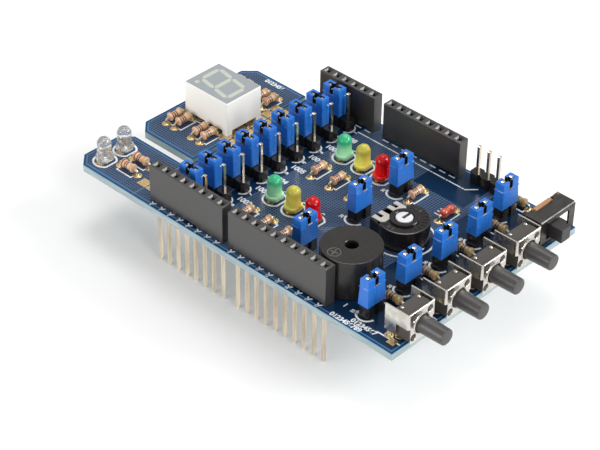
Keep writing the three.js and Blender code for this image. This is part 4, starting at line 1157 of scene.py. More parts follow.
def lamp_lens():
    """The lens about its own axis, flange down, with the flat that marks the shorter leg."""
    low, flange = LAMP_STANDOFF, LAMP_STANDOFF + LAMP_FLANGE
    dome = LAMP_STANDOFF + LAMP_HEIGHT - LAMP_RADIUS
    profile = [(0, low), (LAMP_FLANGE_RADIUS - LAMP_ROUND, low), (LAMP_FLANGE_RADIUS, low + LAMP_ROUND),
               (LAMP_FLANGE_RADIUS, flange - LAMP_ROUND), (LAMP_FLANGE_RADIUS - LAMP_ROUND, flange),
               (LAMP_RADIUS + LAMP_ROUND, flange), (LAMP_RADIUS, flange + LAMP_ROUND)]
    for i in range(LAMP_DOME_STEPS):
        turn = math.pi / 2 * i / LAMP_DOME_STEPS
        profile.append((LAMP_RADIUS * math.cos(turn), dome + LAMP_RADIUS * math.sin(turn)))
    bm = turned(profile + [(0, dome + LAMP_RADIUS)], 40)
    for vert in bm.verts:
        vert.co.x = min(vert.co.x, LAMP_RADIUS)
    return bm


def lamp_frame():
    """Two legs, the cup on one and the wire post on the other."""
    bm = bmesh.new()
    shelf, step = (LAMP_STANDOFF + LAMP_FLANGE * share for share in LAMP_FOOT_SHARES)
    for side, top in ((-1, CUP_HEIGHT - CUP_DEPTH), (1, CUP_HEIGHT + POST_RISE)):
        leg, post = side * LAMP_LEG_PITCH / 2, side * POST_X
        foot = LAMP_STANDOFF + LAMP_LEG_SINK
        join(bm, square_turned(leg_profile(LAMP_LEG, foot)), at(leg, 0))
        join(bm, box((min(leg, post) - LAMP_LEG / 2, -LAMP_LEG, foot),
                     (max(leg, post) + LAMP_LEG / 2, LAMP_LEG, step), FRAME_EDGE))
        join(bm, box((post - POST_HALF, -LAMP_LEG, shelf), (post + POST_HALF, LAMP_LEG, top), FRAME_EDGE))
    cup = turned([(radius * MM, CUP_HEIGHT + rise * MM) for radius, rise in CUP_PROFILE], 20)
    join(bm, cup, at(CUP_X, 0))
    return move(bm, Matrix.Rotation(math.pi / 2, 4, "Z"))


def tinted_resin(name, shaded_dome_tint, lit_body_tint):
    """Diffused epoxy: painted shade deepens it in the dome, painted light pales it below, painted shade
    darkens its foot.
    """
    material, tree, shader = new_material(name, {
        "Subsurface Weight": 0.85, "Subsurface Radius": (1, 1, 1), "Subsurface Scale": RESIN_BLUR,
        "Specular IOR Level": 0.12, "Coat Weight": 0.6, "Coat Roughness": 0.015})
    height, base = add_axes(tree)["Z"], ORIGIN.z + LAMP_STANDOFF
    low, high = (base + share * LAMP_HEIGHT for share in TINT_SHARES)
    cloud = add_range(tree, add_noise(tree, 500, 2), -TINT_CLOUD, TINT_CLOUD, 0.35, 0.65)
    share = add_math(tree, "ADD", add_range(tree, height, 1, 0, low, high), cloud)
    foot = add_range(tree, height, FOOT_SHADE_SHARE, 1, base, base + FOOT_SHADE_REACH)
    # the resin's colour carries painted shade in the dome, painted light lower down and painted shade at
    # its foot
    resin = add_mix(tree, foot, FOOT_SHADE, add_mix(tree, share, shaded_dome_tint, lit_body_tint))
    tree.links.new(resin, shader.inputs["Base Color"])
    tree.links.new(add_range(tree, add_noise(tree, 900, 3), 0.03, 0.07), shader.inputs["Roughness"])
    return material


clear_resin, tree, shader = new_material("clear_resin", {"Transmission Weight": 0.84, "IOR": 1.45})
water = add_mix(tree, add_range(tree, add_noise(tree, 900, 2)), CLEAR, CLEAR_LIGHT)
tree.links.new(water, shader.inputs["Base Color"])
tree.links.new(add_range(tree, add_noise(tree, 700, 3), 0.02, 0.06), shader.inputs["Roughness"])
tree.links.new(add_bump(tree, add_noise(tree, 500, 2), CLEAR_RELIEF), shader.inputs["Normal"])

lamp_steel = metal("lamp_leg_silver", LAMP_STEEL, LAMP_STEEL_DULL, 0.3)
lamps = [(f"lamp_{row}_{tint}", tint) for row in ("front", "back") for tint in LAMP_TINTS]
lamps += [("lamp_clear_1", "clear"), ("lamp_clear_2", "clear")]
resins = {tint: tinted_resin(f"lamp_{tint}", *colours) for tint, colours in LAMP_TINTS.items()}
resins["clear"] = clear_resin


def lamp_start(node):
    """Where a lamp's axis stands in plan: its flange is cut flat on one side only."""
    low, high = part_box(node)
    return low.x - ORIGIN.x + LAMP_FLANGE_RADIUS, (low.y + high.y) / 2 - ORIGIN.y


for node, tint in lamps:
    x, y = lamp_start(node)
    make_piece(node + "_lens", move(lamp_lens(), at(x, y)), [resins[tint]],
               replaces=[node], sharp=50)
    make_piece(node + "_legs", move(lamp_frame(), at(x, y)), [lamp_steel], sharp=25)
    for side in (-1, 1):
        solder_joint(x, y + side * LAMP_LEG_PITCH / 2)

# Buzzer: a round moulded sound chamber over a coil and disc, closed but for the hole in its top. A
# ring with a cross is moulded over its first leg. It stands on a narrow foot ring.
BUZZER_RADIUS = 6.0 * MM
BUZZER_TOP = 8.6 * MM
BUZZER_EDGE = 0.22 * MM
BUZZER_FOOT = 0.4 * MM
BUZZER_FOOT_RING = 1.2 * MM
BUZZER_HOLE = 1.3 * MM
BUZZER_HOLE_EDGE = 0.1 * MM
BUZZER_HOLE_DEPTH = 3.0 * MM
BUZZER_LEG_PITCH = 7.6 * MM
MARK_PLACE = (-0.7 * MM, -4.0 * MM)
MARK_TURN = 12
MARK_RADIUS = 1.35 * MM
MARK_LINE = 0.2 * MM
MARK_SLOPE_SHARE = 0.2
MARK_ARM_SHARE = 0.62
MARK_RISE = 0.05 * MM
BUZZER_BLACK = (0.017, 0.015, 0.014)
BUZZER_BLACK_LIGHT = (0.028, 0.025, 0.023)
BUZZER_GRAIN = 0.003 * MM
MARK_GREY = (0.105, 0.100, 0.092)
MARK_GREY_LIGHT = (0.130, 0.124, 0.114)
ROUND_SHARE = 0.3


def rounded_rim(radius, top, edge):
    """The upper outer corner of a turned part, rounded by one more point."""
    cut = edge * ROUND_SHARE
    return [(radius, top - edge), (radius - cut, top - cut), (radius - edge, top)]


foot = BUZZER_RADIUS - BUZZER_FOOT_RING
hole_floor = BUZZER_TOP - BUZZER_HOLE_DEPTH
can = turned([
    (0, BUZZER_FOOT), (foot, BUZZER_FOOT), (foot, 0), (BUZZER_RADIUS - BUZZER_EDGE, 0),
    (BUZZER_RADIUS, BUZZER_EDGE), *rounded_rim(BUZZER_RADIUS, BUZZER_TOP, BUZZER_EDGE),
    (BUZZER_HOLE + BUZZER_HOLE_EDGE, BUZZER_TOP), (BUZZER_HOLE, BUZZER_TOP - BUZZER_HOLE_EDGE),
    (BUZZER_HOLE, hole_floor), (0, hole_floor),
], 96)
low, high, slope = BUZZER_TOP - MARK_RISE, BUZZER_TOP + MARK_RISE, MARK_LINE * MARK_SLOPE_SHARE
mark = turned([(MARK_RADIUS - MARK_LINE, low), (MARK_RADIUS - MARK_LINE + slope, high),
               (MARK_RADIUS - slope, high), (MARK_RADIUS, low)], 40)
arm, line = MARK_RADIUS * MARK_ARM_SHARE, MARK_LINE / 2
for x, y in ((arm, line), (line, arm)):
    join(mark, box((-x, -y, low), (x, y, high), MARK_RISE / 3))
# the walls and floor of the sound hole take the darker black as painted shade
paint(can, 3, lambda c: c.xy.length < BUZZER_HOLE + MARK_RISE and BUZZER_FOOT < c.z < low)
join(can, paint(mark, 1), at(*MARK_PLACE, 0, MARK_TURN))
buzzer_place = middle_of("buzzer")
for x in (-BUZZER_LEG_PITCH / 2, BUZZER_LEG_PITCH / 2):
    join(can, paint(turned(leg_profile(LEAD_RADIUS, 2 * BUZZER_FOOT), 10), 2), at(x, 0))
    solder_joint(buzzer_place.x + x, buzzer_place.y)
buzzer_black = moulded("buzzer_black", BUZZER_BLACK, BUZZER_BLACK_LIGHT, 0.22, 0.05, 2600, BUZZER_GRAIN,
                       shine=0.45)
mark_grey = moulded("buzzer_mark", MARK_GREY, MARK_GREY_LIGHT, 0.45)
make_piece("buzzer_case", move(can, at(buzzer_place.x, buzzer_place.y)),
           [buzzer_black, mark_grey, lead_metal, base_black_and_hollow_shade],
           replaces=["buzzer"], sharp=28)

# Trimmer: a round moulding with a terminal block at one side. Two tinned plates feed the carbon track
# under the collar, ticks are moulded round the dial, and the slotted white rotor turns in the middle.
TRIM_RADIUS = 5.1 * MM
TRIM_TOP = 4.6 * MM
TRIM_SHELF = 3.9 * MM
TRIM_DRAFT = 0.03 * MM
TRIM_EDGE = 0.18 * MM
TRIM_STEP = 0.12 * MM
TRIM_COLLAR = 2.9 * MM
TRIM_COLLAR_RISE = 0.35 * MM
TRIM_WELL = 1.95 * MM
TRIM_BLOCK = 5.4 * MM
TRIM_BLOCK_HALF = 3.8 * MM
TRIM_SHOULDER = 2.6 * MM
TRIM_SHOULDER_HALF = 4.2 * MM
TRIM_WIPER = 4.2 * MM
TRIM_LEG_PITCH = 5.08 * MM
TRIM_LEG_TOP = 0.5 * MM
PLATE_THICK = 0.35 * MM
PLATE_LENGTH = 3.4 * MM
PLATE_WIDTH = 2.9 * MM
PLATE_CORNER = 0.9 * MM
PLATE_GAP = 1.4 * MM
PLATE_INSET = 0.2 * MM
PLATE_SLOT = 1.5 * MM
PLATE_SLOT_WIDTH = 0.8 * MM
PLATE_EDGE = 0.05 * MM
TICK_COUNT = 17
TICK_LAST = 112
TICK_WIDTH = 0.3 * MM
TICK_INNER = 3.55 * MM
TICK_OUTER = 4.6 * MM
TICK_RISE = 0.10 * MM
ROTOR_RADIUS = 1.7 * MM
ROTOR_EDGE = 0.1 * MM
ROTOR_DEPTH = 2.6 * MM
ROTOR_GAP = 0.05 * MM
ROTOR_SLOT = 0.65 * MM
ROTOR_SLOT_DEPTH = 1.0 * MM
ROTOR_SLOT_START = 0.5 * MM
TRIMMER_BLACK = (0.010, 0.008, 0.008)
TRIMMER_BLACK_LIGHT = (0.020, 0.017, 0.016)
TRIMMER_GRAIN = 0.005 * MM
# the rim of the dial, lighter than the body as a painted highlight
TRIMMER_RIM_HIGHLIGHT = (0.020, 0.018, 0.017)
TRIMMER_RIM_HIGHLIGHT_LIGHT = (0.030, 0.027, 0.025)
PLATE_TIN = (0.80, 0.77, 0.72)
PLATE_TIN_DULL = (0.68, 0.65, 0.60)
ROTOR_WHITE = (0.70, 0.71, 0.72)
ROTOR_WHITE_LIGHT = (0.78, 0.79, 0.80)
ROTOR_GRAIN = 0.006 * MM
ROTOR_SHADE = (0.16, 0.16, 0.17)
ROTOR_SHADE_LIGHT = (0.24, 0.24, 0.25)

trimmer_place = Vector((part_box("trimmer_body")[0].x - ORIGIN.x + TRIM_BLOCK, middle_of("trimmer_body").y))
on_trimmer = at(*trimmer_place)
collar_top = TRIM_TOP + TRIM_COLLAR_RISE
dial_top = TRIM_TOP - TRIM_STEP
well_floor = collar_top - ROTOR_DEPTH
dial = turned([
    (0, 0), (TRIM_RADIUS - TRIM_EDGE, 0), (TRIM_RADIUS, TRIM_EDGE),
    *rounded_rim(TRIM_RADIUS, TRIM_TOP, TRIM_EDGE), (TRIM_RADIUS - 3 * TRIM_EDGE, TRIM_TOP),
    (TRIM_RADIUS - 3.5 * TRIM_EDGE, dial_top), (TRIM_COLLAR, dial_top),
    (TRIM_COLLAR, collar_top - TRIM_EDGE / 2), (TRIM_COLLAR - TRIM_EDGE / 2, collar_top),
    (TRIM_WELL + TRIM_EDGE / 2, collar_top), (TRIM_WELL, collar_top - TRIM_EDGE / 2),
    (TRIM_WELL, well_floor), (0, well_floor),
], 72)
for i in range(TICK_COUNT):
    turn = TICK_LAST * (2 * i / (TICK_COUNT - 1) - 1)
    tick = box((TICK_INNER, -TICK_WIDTH / 2, dial_top - TRIM_STEP),
               (TICK_OUTER, TICK_WIDTH / 2, dial_top + TICK_RISE), TICK_RISE / 3, 1)
    join(dial, tick, at(0, 0, 0, turn))
shelf_end = PLATE_LENGTH - TRIM_BLOCK
for x in (shelf_end, shelf_end - TRIM_DRAFT):
    cut_across(dial, (x, 0, 0), (1, 0, 0))
for vert in dial.verts:
    reach = vert.co.xy.length
    on_dial = reach > TRIM_COLLAR + TRIM_DRAFT / 2 or vert.co.z < TRIM_TOP - TRIM_STEP / 2
    if vert.co.x < shelf_end - TRIM_DRAFT / 2 and reach > TRIM_WELL + TRIM_DRAFT and on_dial:
        vert.co.z = min(vert.co.z, TRIM_SHELF)
block = [(-TRIM_BLOCK, TRIM_BLOCK_HALF), (-TRIM_SHOULDER, TRIM_SHOULDER_HALF),
         (-TRIM_COLLAR, TRIM_SHOULDER_HALF)]
join(dial, sheet([[(x, -y) for x, y in block] + block[::-1]], 0, TRIM_SHELF, TRIM_EDGE, 2))
plates = bmesh.new()
back, front = PLATE_INSET - TRIM_BLOCK, shelf_end + PLATE_INSET
for side in (-1, 1):
    near, far = side * PLATE_GAP / 2, side * (PLATE_GAP / 2 + PLATE_WIDTH)
    middle, corner, notch = (near + far) / 2, side * PLATE_CORNER, side * PLATE_SLOT_WIDTH / 2
    outline = [(back, near), (front - PLATE_CORNER, near), (front, near + corner), (front, far - corner),
               (front - PLATE_CORNER, far), (back, far), (back, middle + notch),
               (back + PLATE_SLOT, middle + notch), (back + PLATE_SLOT, middle - notch),
               (back, middle - notch)]
    join(plates, sheet([outline], TRIM_SHELF - TRIM_STEP, TRIM_SHELF + PLATE_THICK, PLATE_EDGE))
    x, y = back + PLATE_SLOT / 2, side * TRIM_LEG_PITCH / 2
    join(plates, square_turned(leg_profile(LEAD_RADIUS, TRIM_LEG_TOP)), at(x, y))
    solder_joint(trimmer_place.x + x, trimmer_place.y + y)
solder_joint(trimmer_place.x + TRIM_WIPER, trimmer_place.y)
# the rounded outer rim of the dial is glossier, and painted lighter as a highlight
paint(dial, 1, lambda c: c.z > TRIM_TOP - TRIM_EDGE and c.xy.length > TRIM_RADIUS - 1.2 * TRIM_EDGE)
trimmer_black = moulded("trimmer_black", TRIMMER_BLACK, TRIMMER_BLACK_LIGHT, 0.24, 0.06, 2600,
                        TRIMMER_GRAIN, 0.45)
trimmer_rim_gloss_and_highlight = moulded("trimmer_rim_gloss_and_highlight", TRIMMER_RIM_HIGHLIGHT, TRIMMER_RIM_HIGHLIGHT_LIGHT, 0.24, 0.05, shine=0.9)
plate_tin = metal("plate_tin", PLATE_TIN, PLATE_TIN_DULL, 0.36)
make_piece("trimmer_housing", move(dial, on_trimmer), [trimmer_black, trimmer_rim_gloss_and_highlight],
           replaces=["trimmer_body"], sharp=26)
make_piece("trimmer_plates", move(plates, on_trimmer), [plate_tin], sharp=25)


def add_slot(bm, half_width, start, end, floor, top):
    """Cuts a driver slot down into an upright part by pressing the faces within it."""
    for normal, place in (((1, 0, 0), (-half_width, 0, 0)), ((1, 0, 0), (half_width, 0, 0)),
                          ((0, 1, 0), (0, start, 0))):
        cut_across(bm, place, normal)
    middles = [(face, face.calc_center_median()) for face in bm.faces if face.normal.z > 0.5]
    inside = [face for face, c in middles if c.z > floor and abs(c.x) < half_width and start < c.y < end]
    pressed = bmesh.ops.extrude_face_region(bm, geom=inside)["geom"]
    bmesh.ops.delete(bm, geom=inside, context="FACES_ONLY")
    shift(bm, pressed, (0, 0, floor - top))
    bmesh.ops.recalc_face_normals(bm, faces=bm.faces)


rotor_low = well_floor + ROTOR_GAP
rotor = turned([(0, rotor_low), (ROTOR_RADIUS, rotor_low),
                *rounded_rim(ROTOR_RADIUS, collar_top, ROTOR_EDGE), (0, collar_top)], 48)
add_slot(rotor, ROTOR_SLOT / 2, -ROTOR_SLOT_START, 2 * ROTOR_RADIUS,
         collar_top - ROTOR_SLOT_DEPTH, collar_top)
paint(rotor, 1, lambda c: abs(c.x) < ROTOR_SLOT and c.xy.length < ROTOR_RADIUS - TRIM_DRAFT
      and collar_top - ROTOR_DEPTH / 2 < c.z < collar_top - TRIM_DRAFT)
rotor_white = moulded("rotor_white", ROTOR_WHITE, ROTOR_WHITE_LIGHT, 0.35, 0.05, 3000, ROTOR_GRAIN)
rotor_shade = moulded("rotor_shade", ROTOR_SHADE, ROTOR_SHADE_LIGHT, 0.45)
make_piece("rotor", move(rotor, on_trimmer), [rotor_white, rotor_shade],
           body="trimmer_rotor", replaces=["trimmer_rotor"], sharp=28)

# Push buttons: a black moulded housing holds a dome contact behind a tinned sheet bracket, riveted on
# by four heat-formed stakes. The bracket's wings fold back to a leg each, and the plunger points out.
BRACKET_SHEET = 0.3 * MM
BRACKET_BEND = 0.5 * MM
BRACKET_HALF = 3.65 * MM
BRACKET_FACE_HALF = 3.0 * MM
BRACKET_TOP = 6.9 * MM
BRACKET_DEPTH = 5.7 * MM
BRACKET_SHOULDER = 3.55 * MM
BRACKET_TAB = 2.65 * MM
BRACKET_TAB_LOW = 1.2 * MM
BRACKET_LEG = 0.9 * MM
BRACKET_LEG_INSET = 0.7 * MM
BRACKET_EDGE = 0.05 * MM
FOLD_STEPS = 6
AXIS_HEIGHT = 3.45 * MM
PLATE_HOLE = 2.0 * MM
LIP_CURVE = (  # out from the edge of the hole and forwards, in millimetres
    (-0.02, -0.05), (0, 0.112), (0.06, 0.16), (0.16, 0.112), (0.24, -0.05))
STAKE_PITCH = 4.35 * MM
STAKE_RADIUS = 0.62 * MM
STAKE_PROUD = 0.15 * MM
STAKE_HOLE = 0.75 * MM
STAKE_DOME = ((1, 0.3), (0.75, 0.8), (0.4, 1), (0, 1))  # shares of the radius and of the rise
HOUSING_HALF = 3.0 * MM
HOUSING_DEPTH = 3.5 * MM
HOUSING_WELL = 2.5 * MM
HOUSING_WELL_DEPTH = 2.2 * MM
HOUSING_EDGE = 0.12 * MM
PLUNGER_RADIUS = 1.8 * MM
PLUNGER_TIP = 1.65 * MM
PLUNGER_REACH = 5.95 * MM
PLUNGER_FLANGE = 2.2 * MM
PLUNGER_FLANGE_LENGTH = 0.8 * MM
TIP_CURVE = (  # in from the side and back from the end, in millimetres
    (0, 0.22), (0.05, 0.09), (0.15, 0.02), (0.28, 0))
RUNNING_GAP = 0.25 * MM
BUTTON_PIN_PITCH = 4.5 * MM
BUTTON_PIN_INSET = 0.85 * MM
BUTTON_PIN_HALF = (0.18 * MM, 0.35 * MM)
BUTTON_PIN_EDGE = 0.04 * MM
BUTTON_PIN_SINK = 0.1 * MM
STUB_RADIUS = 0.34 * MM
STUB_RISE = 0.32 * MM
STUB_SHARE = 0.6
WIDE_PAD = 1.7 * MM
BRACKET_TIN = (0.80, 0.77, 0.71)
BRACKET_TIN_DULL = (0.66, 0.62, 0.56)
HOUSING_BLACK = (0.050, 0.043, 0.038)
HOUSING_BLACK_LIGHT = (0.075, 0.066, 0.058)
HOUSING_GRAIN = 0.008 * MM
PLUNGER_BLACK = (0.045, 0.042, 0.041)
PLUNGER_BLACK_LIGHT = (0.070, 0.066, 0.064)
PLUNGER_GRAIN = 0.006 * MM

half_pitch = STAKE_PITCH / 2
stake_places = [(y, AXIS_HEIGHT + z) for y in (-half_pitch, half_pitch) for z in (-half_pitch, half_pitch)]


def fold(bm, line, radius, axis):
    """Folds what lies past a line of a flat sheet back through a right angle, round a radius."""
    quarter = radius * math.pi / 2
    side = math.copysign(1, line)
    normal = Vector((0, 0, 0))
    normal[axis] = 1
    for step in range(FOLD_STEPS + 1):
        cut_across(bm, normal * (line + side * quarter * step / FOLD_STEPS), normal)
    for vert in bm.verts:
        past = side * (vert.co[axis] - line)
        if past > WELD / 100:
            turn = min(past / quarter, 1) * math.pi / 2
            depth = radius + vert.co.x
            vert.co.x = depth * math.cos(turn) - radius - max(0, past - quarter)
            vert.co[axis] = line + side * depth * math.sin(turn)


def upright(bm):
    """Stands a sheet that was drawn flat on end, its drawn X across and its drawn Y up."""
    return move(bm, Matrix(((0, 0, 1, 0), (1, 0, 0, 0), (0, 1, 0, 0), (0, 0, 0, 1))))


def both_sides(half):
    """An outline closed by its mirror image."""
    return half + [(-x, y) for x, y in half[::-1]]


def bracket():
    """The flat blank with its holes, folded back along both sides."""
    line = BRACKET_HALF - BRACKET_BEND
    back = line + BRACKET_BEND * math.pi / 2 - BRACKET_BEND + BRACKET_DEPTH
    tab, leg, low = back - BRACKET_TAB, back - BRACKET_LEG_INSET, -BOARD_THICK - LEAD_TAIL
    outline = both_sides([
        (BRACKET_FACE_HALF, 0), (BRACKET_FACE_HALF, BRACKET_SHOULDER), (tab, BRACKET_SHOULDER),
        (tab, BRACKET_TAB_LOW), (leg - BRACKET_LEG, BRACKET_TAB_LOW), (leg - BRACKET_LEG, low),
        (leg, low), (leg, BRACKET_TAB_LOW), (back, BRACKET_TAB_LOW), (back, BRACKET_TOP)])
    holes = [circle(STAKE_HOLE, y, z, 20) for y, z in stake_places]
    bm = upright(sheet([outline, circle(PLATE_HOLE, 0, AXIS_HEIGHT, 40), *holes], -BRACKET_SHEET, 0))
    for side in (-1, 1):
        fold(bm, side * line, BRACKET_BEND, 1)
    dissolve_flats(bm, 1)
    round_edges(bm, BRACKET_EDGE, 1, 60)
    lip = turned([(PLATE_HOLE + out * MM, forwards * MM) for out, forwards in LIP_CURVE], 48)
    join(bm, lip, at(0, 0, AXIS_HEIGHT) @ ON_SIDE)
    return bm


def button_housing():
    """The moulded case: a square front with a round well, a solid back, stakes and contact stubs."""
    bottom, top = AXIS_HEIGHT - HOUSING_HALF, AXIS_HEIGHT + HOUSING_HALF
    front, middle, back = (-BRACKET_SHEET - depth for depth in (0, HOUSING_WELL_DEPTH, HOUSING_DEPTH))
    square = rectangle(-HOUSING_HALF, bottom, HOUSING_HALF, top)
    case = upright(sheet([square, circle(HOUSING_WELL, 0, AXIS_HEIGHT, 40)], middle, front))
    join(case, box((back, -HOUSING_HALF, bottom), (middle, HOUSING_HALF, top), HOUSING_EDGE))
    dome = [(STAKE_RADIUS * out, STAKE_PROUD * rise) for out, rise in STAKE_DOME]
    for y, z in stake_places:
        join(case, turned([(0, front), (STAKE_RADIUS, front)] + dome, 20), at(0, y, z) @ ON_SIDE)
    x = back + BUTTON_PIN_INSET
    half_x, half_y = BUTTON_PIN_HALF
    for y in (-BUTTON_PIN_PITCH / 2, BUTTON_PIN_PITCH / 2):
        stub = turned([(STUB_RADIUS, top - BUTTON_PIN_SINK), (STUB_RADIUS, top + STUB_RISE * STUB_SHARE),
                       (STUB_RADIUS * STUB_SHARE, top + STUB_RISE), (0, top + STUB_RISE)], 16)
        join(case, paint(stub, 1), at(x, y))
        pin = box((x - half_x, y - half_y, -BOARD_THICK - LEAD_TAIL),
                  (x + half_x, y + half_y, bottom + BUTTON_PIN_SINK), BUTTON_PIN_EDGE)
        join(case, paint(pin, 1))
    return case


def plunger():
    front = -BRACKET_SHEET - RUNNING_GAP
    back = front - PLUNGER_FLANGE_LENGTH
    tip = [(PLUNGER_TIP - inwards * MM, PLUNGER_REACH - behind * MM) for inwards, behind in TIP_CURVE]
    bm = turned([(0, back), (PLUNGER_FLANGE, back), (PLUNGER_FLANGE, front), (PLUNGER_RADIUS, front), *tip,
                 (0, PLUNGER_REACH)], 56)
    return move(bm, at(0, 0, AXIS_HEIGHT) @ ON_SIDE)


def front_of(node):
    """Where a part that faces the board's end stands in plan: at its foremost face, midway across."""
    low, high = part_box(node)
    return high.x - ORIGIN.x, (low.y + high.y) / 2 - ORIGIN.y


bracket_tin = metal("bracket_tin", BRACKET_TIN, BRACKET_TIN_DULL, 0.27, 0.09, 700)
housing_black = moulded("housing_black", HOUSING_BLACK, HOUSING_BLACK_LIGHT, 0.50, 0.05, 5000,
                        HOUSING_GRAIN)
plunger_black = moulded("plunger_black", PLUNGER_BLACK, PLUNGER_BLACK_LIGHT, 0.38, 0.05, 5000,
                        PLUNGER_GRAIN)
for number in range(1, 5):
    x, y = front_of(f"button_bracket_{number}")
    make_piece(f"button_frame_{number}", move(bracket(), at(x, y)), [bracket_tin],
               replaces=[f"button_bracket_{number}"], sharp=30)
    make_piece(f"button_case_{number}", move(button_housing(), at(x, y)), [housing_black, lead_metal],
               replaces=[f"button_housing_{number}"], sharp=30)
    make_piece(f"button_cap_{number}", move(plunger(), at(x, y)), [plunger_black],
               body=f"button_plunger_{number}", replaces=[f"button_plunger_{number}"], sharp=28)
    if number == 1:
        square_pad(x - BRACKET_DEPTH / 2, y - BRACKET_HALF - WIDE_PAD / 2, WIDE_PAD)
    for side in (-1, 1):
        solder_joint(x - BRACKET_DEPTH + BRACKET_LEG_INSET + BRACKET_LEG / 2,
                     y + side * (BRACKET_HALF - BRACKET_SHEET / 2), tail=False)
        solder_joint(x - BRACKET_SHEET - HOUSING_DEPTH + BUTTON_PIN_INSET, y + side * BUTTON_PIN_PITCH / 2,
                     tail=False)

# Slide switch: a steel frame folded over a tan phenolic strip that carries three pins. A black slider
# bridges two of them and its knob stands out through the window in the frame.
SWITCH_SHEET = 0.4 * MM
SWITCH_BEND = 0.6 * MM
SWITCH_HALF = 5.2 * MM
SWITCH_TOP = 5.9 * MM
SWITCH_DEPTH = 3.6 * MM
SWITCH_TAB = 0.95 * MM
SWITCH_TAB_WIDTH = 2.2 * MM
SWITCH_WINDOW_HALF = 3.4 * MM
SWITCH_WINDOW_LOW = 1.2 * MM
SWITCH_WINDOW_HIGH = 4.75 * MM
SWITCH_EDGE = 0.07 * MM
SWITCH_FLOOR_EDGE = 0.05 * MM
SWITCH_PIN_TOP = 0.2 * MM
PHENOLIC_THICK = 0.85 * MM
PHENOLIC_RISE_HALF = 2.5 * MM
PHENOLIC_END_RISE = 0.55 * MM
PHENOLIC_EDGE = 0.04 * MM
PHENOLIC_SINK = 0.1 * MM
KNOB_WIDTH = 2.65 * MM
KNOB_TALL = 3.0 * MM
KNOB_REACH = 3.1 * MM
KNOB_CENTRE = 3.0 * MM
KNOB_EDGE = 0.12 * MM
SLIDER_WIDTH = 4.0 * MM
SLIDER_TALL = 3.9 * MM
SLIDER_EDGE = 0.1 * MM
SWITCH_STEEL = (0.12, 0.116, 0.110)
SWITCH_STEEL_DARK = (0.075, 0.072, 0.068)
SWITCH_RELIEF = 0.006 * MM
ROLLED = (1, 0.25, 1)
PHENOLIC = (0.36, 0.17, 0.075)
PHENOLIC_LIGHT = (0.48, 0.26, 0.13)
PHENOLIC_GRAIN = 0.015 * MM
KNOB_BLACK = (0.024, 0.022, 0.022)
KNOB_BLACK_LIGHT = (0.040, 0.038, 0.037)

switch_x, switch_y = front_of("switch_frame")
line = SWITCH_TOP - SWITCH_BEND
back = line + SWITCH_BEND * math.pi / 2 - SWITCH_BEND + SWITCH_DEPTH
tab, inner = back + SWITCH_TAB, SWITCH_HALF - SWITCH_TAB_WIDTH
outline = both_sides([(SWITCH_HALF, 0), (SWITCH_HALF, tab), (inner, tab), (inner, back)])
window = rectangle(-SWITCH_WINDOW_HALF, SWITCH_WINDOW_LOW, SWITCH_WINDOW_HALF, SWITCH_WINDOW_HIGH)
cover = upright(sheet([outline, window], -SWITCH_SHEET, 0))
fold(cover, line, SWITCH_BEND, 2)
dissolve_flats(cover, 1)
round_edges(cover, SWITCH_EDGE, 2, 60)
join(cover, box((-SWITCH_DEPTH, -SWITCH_HALF, 0), (-SWITCH_SHEET, SWITCH_HALF, SWITCH_SHEET),
                SWITCH_FLOOR_EDGE))

front, back, roof = -SWITCH_DEPTH, -SWITCH_DEPTH - PHENOLIC_THICK, SWITCH_TOP - SWITCH_SHEET
strip = box((back, -SWITCH_HALF, 0), (front, SWITCH_HALF, roof), PHENOLIC_EDGE)
for low_y, high_y in ((-PHENOLIC_RISE_HALF, PHENOLIC_RISE_HALF),
                      (SWITCH_HALF - PHENOLIC_END_RISE, SWITCH_HALF)):
    join(strip, box((back, low_y, roof - PHENOLIC_SINK), (front, high_y, SWITCH_TOP), PHENOLIC_EDGE))
for side in (-1, 0, 1):
    x, y = (front + back) / 2, side * PITCH
    pin = box((x - LEAD_RADIUS, y - LEAD_RADIUS, -BOARD_THICK - LEAD_TAIL),
              (x + LEAD_RADIUS, y + LEAD_RADIUS, SWITCH_PIN_TOP))
    join(strip, paint(pin, 1))
    solder_joint(switch_x + x, switch_y + y)

back, front = RUNNING_GAP - SWITCH_DEPTH, -SWITCH_SHEET - RUNNING_GAP
knob = box((back, -SLIDER_WIDTH / 2, KNOB_CENTRE - SLIDER_TALL / 2),
           (front, SLIDER_WIDTH / 2, KNOB_CENTRE + SLIDER_TALL / 2), SLIDER_EDGE)
join(knob, box((front - SLIDER_EDGE, -KNOB_WIDTH / 2, KNOB_CENTRE - KNOB_TALL / 2),
               (KNOB_REACH, KNOB_WIDTH / 2, KNOB_CENTRE + KNOB_TALL / 2), KNOB_EDGE, 3))
switch_steel = metal("switch_steel", SWITCH_STEEL, SWITCH_STEEL_DARK, 0.34, 0.07, 1200, SWITCH_RELIEF,
                     ROLLED)
phenolic = moulded("phenolic", PHENOLIC, PHENOLIC_LIGHT, 0.55, 0.05, 2500, PHENOLIC_GRAIN)
knob_black = moulded("knob_black", KNOB_BLACK, KNOB_BLACK_LIGHT, 0.36)
make_piece("switch_cover", move(cover, at(switch_x, switch_y)), [switch_steel],
           replaces=["switch_frame"])
make_piece("switch_terminal_strip", move(strip, at(switch_x, switch_y)), [phenolic, lead_metal],
           replaces=["switch_strip"])
make_piece("switch_slider", move(knob, at(switch_x, middle_of("switch_knob").y)), [knob_black],
           body="switch_knob", replaces=["switch_knob"])

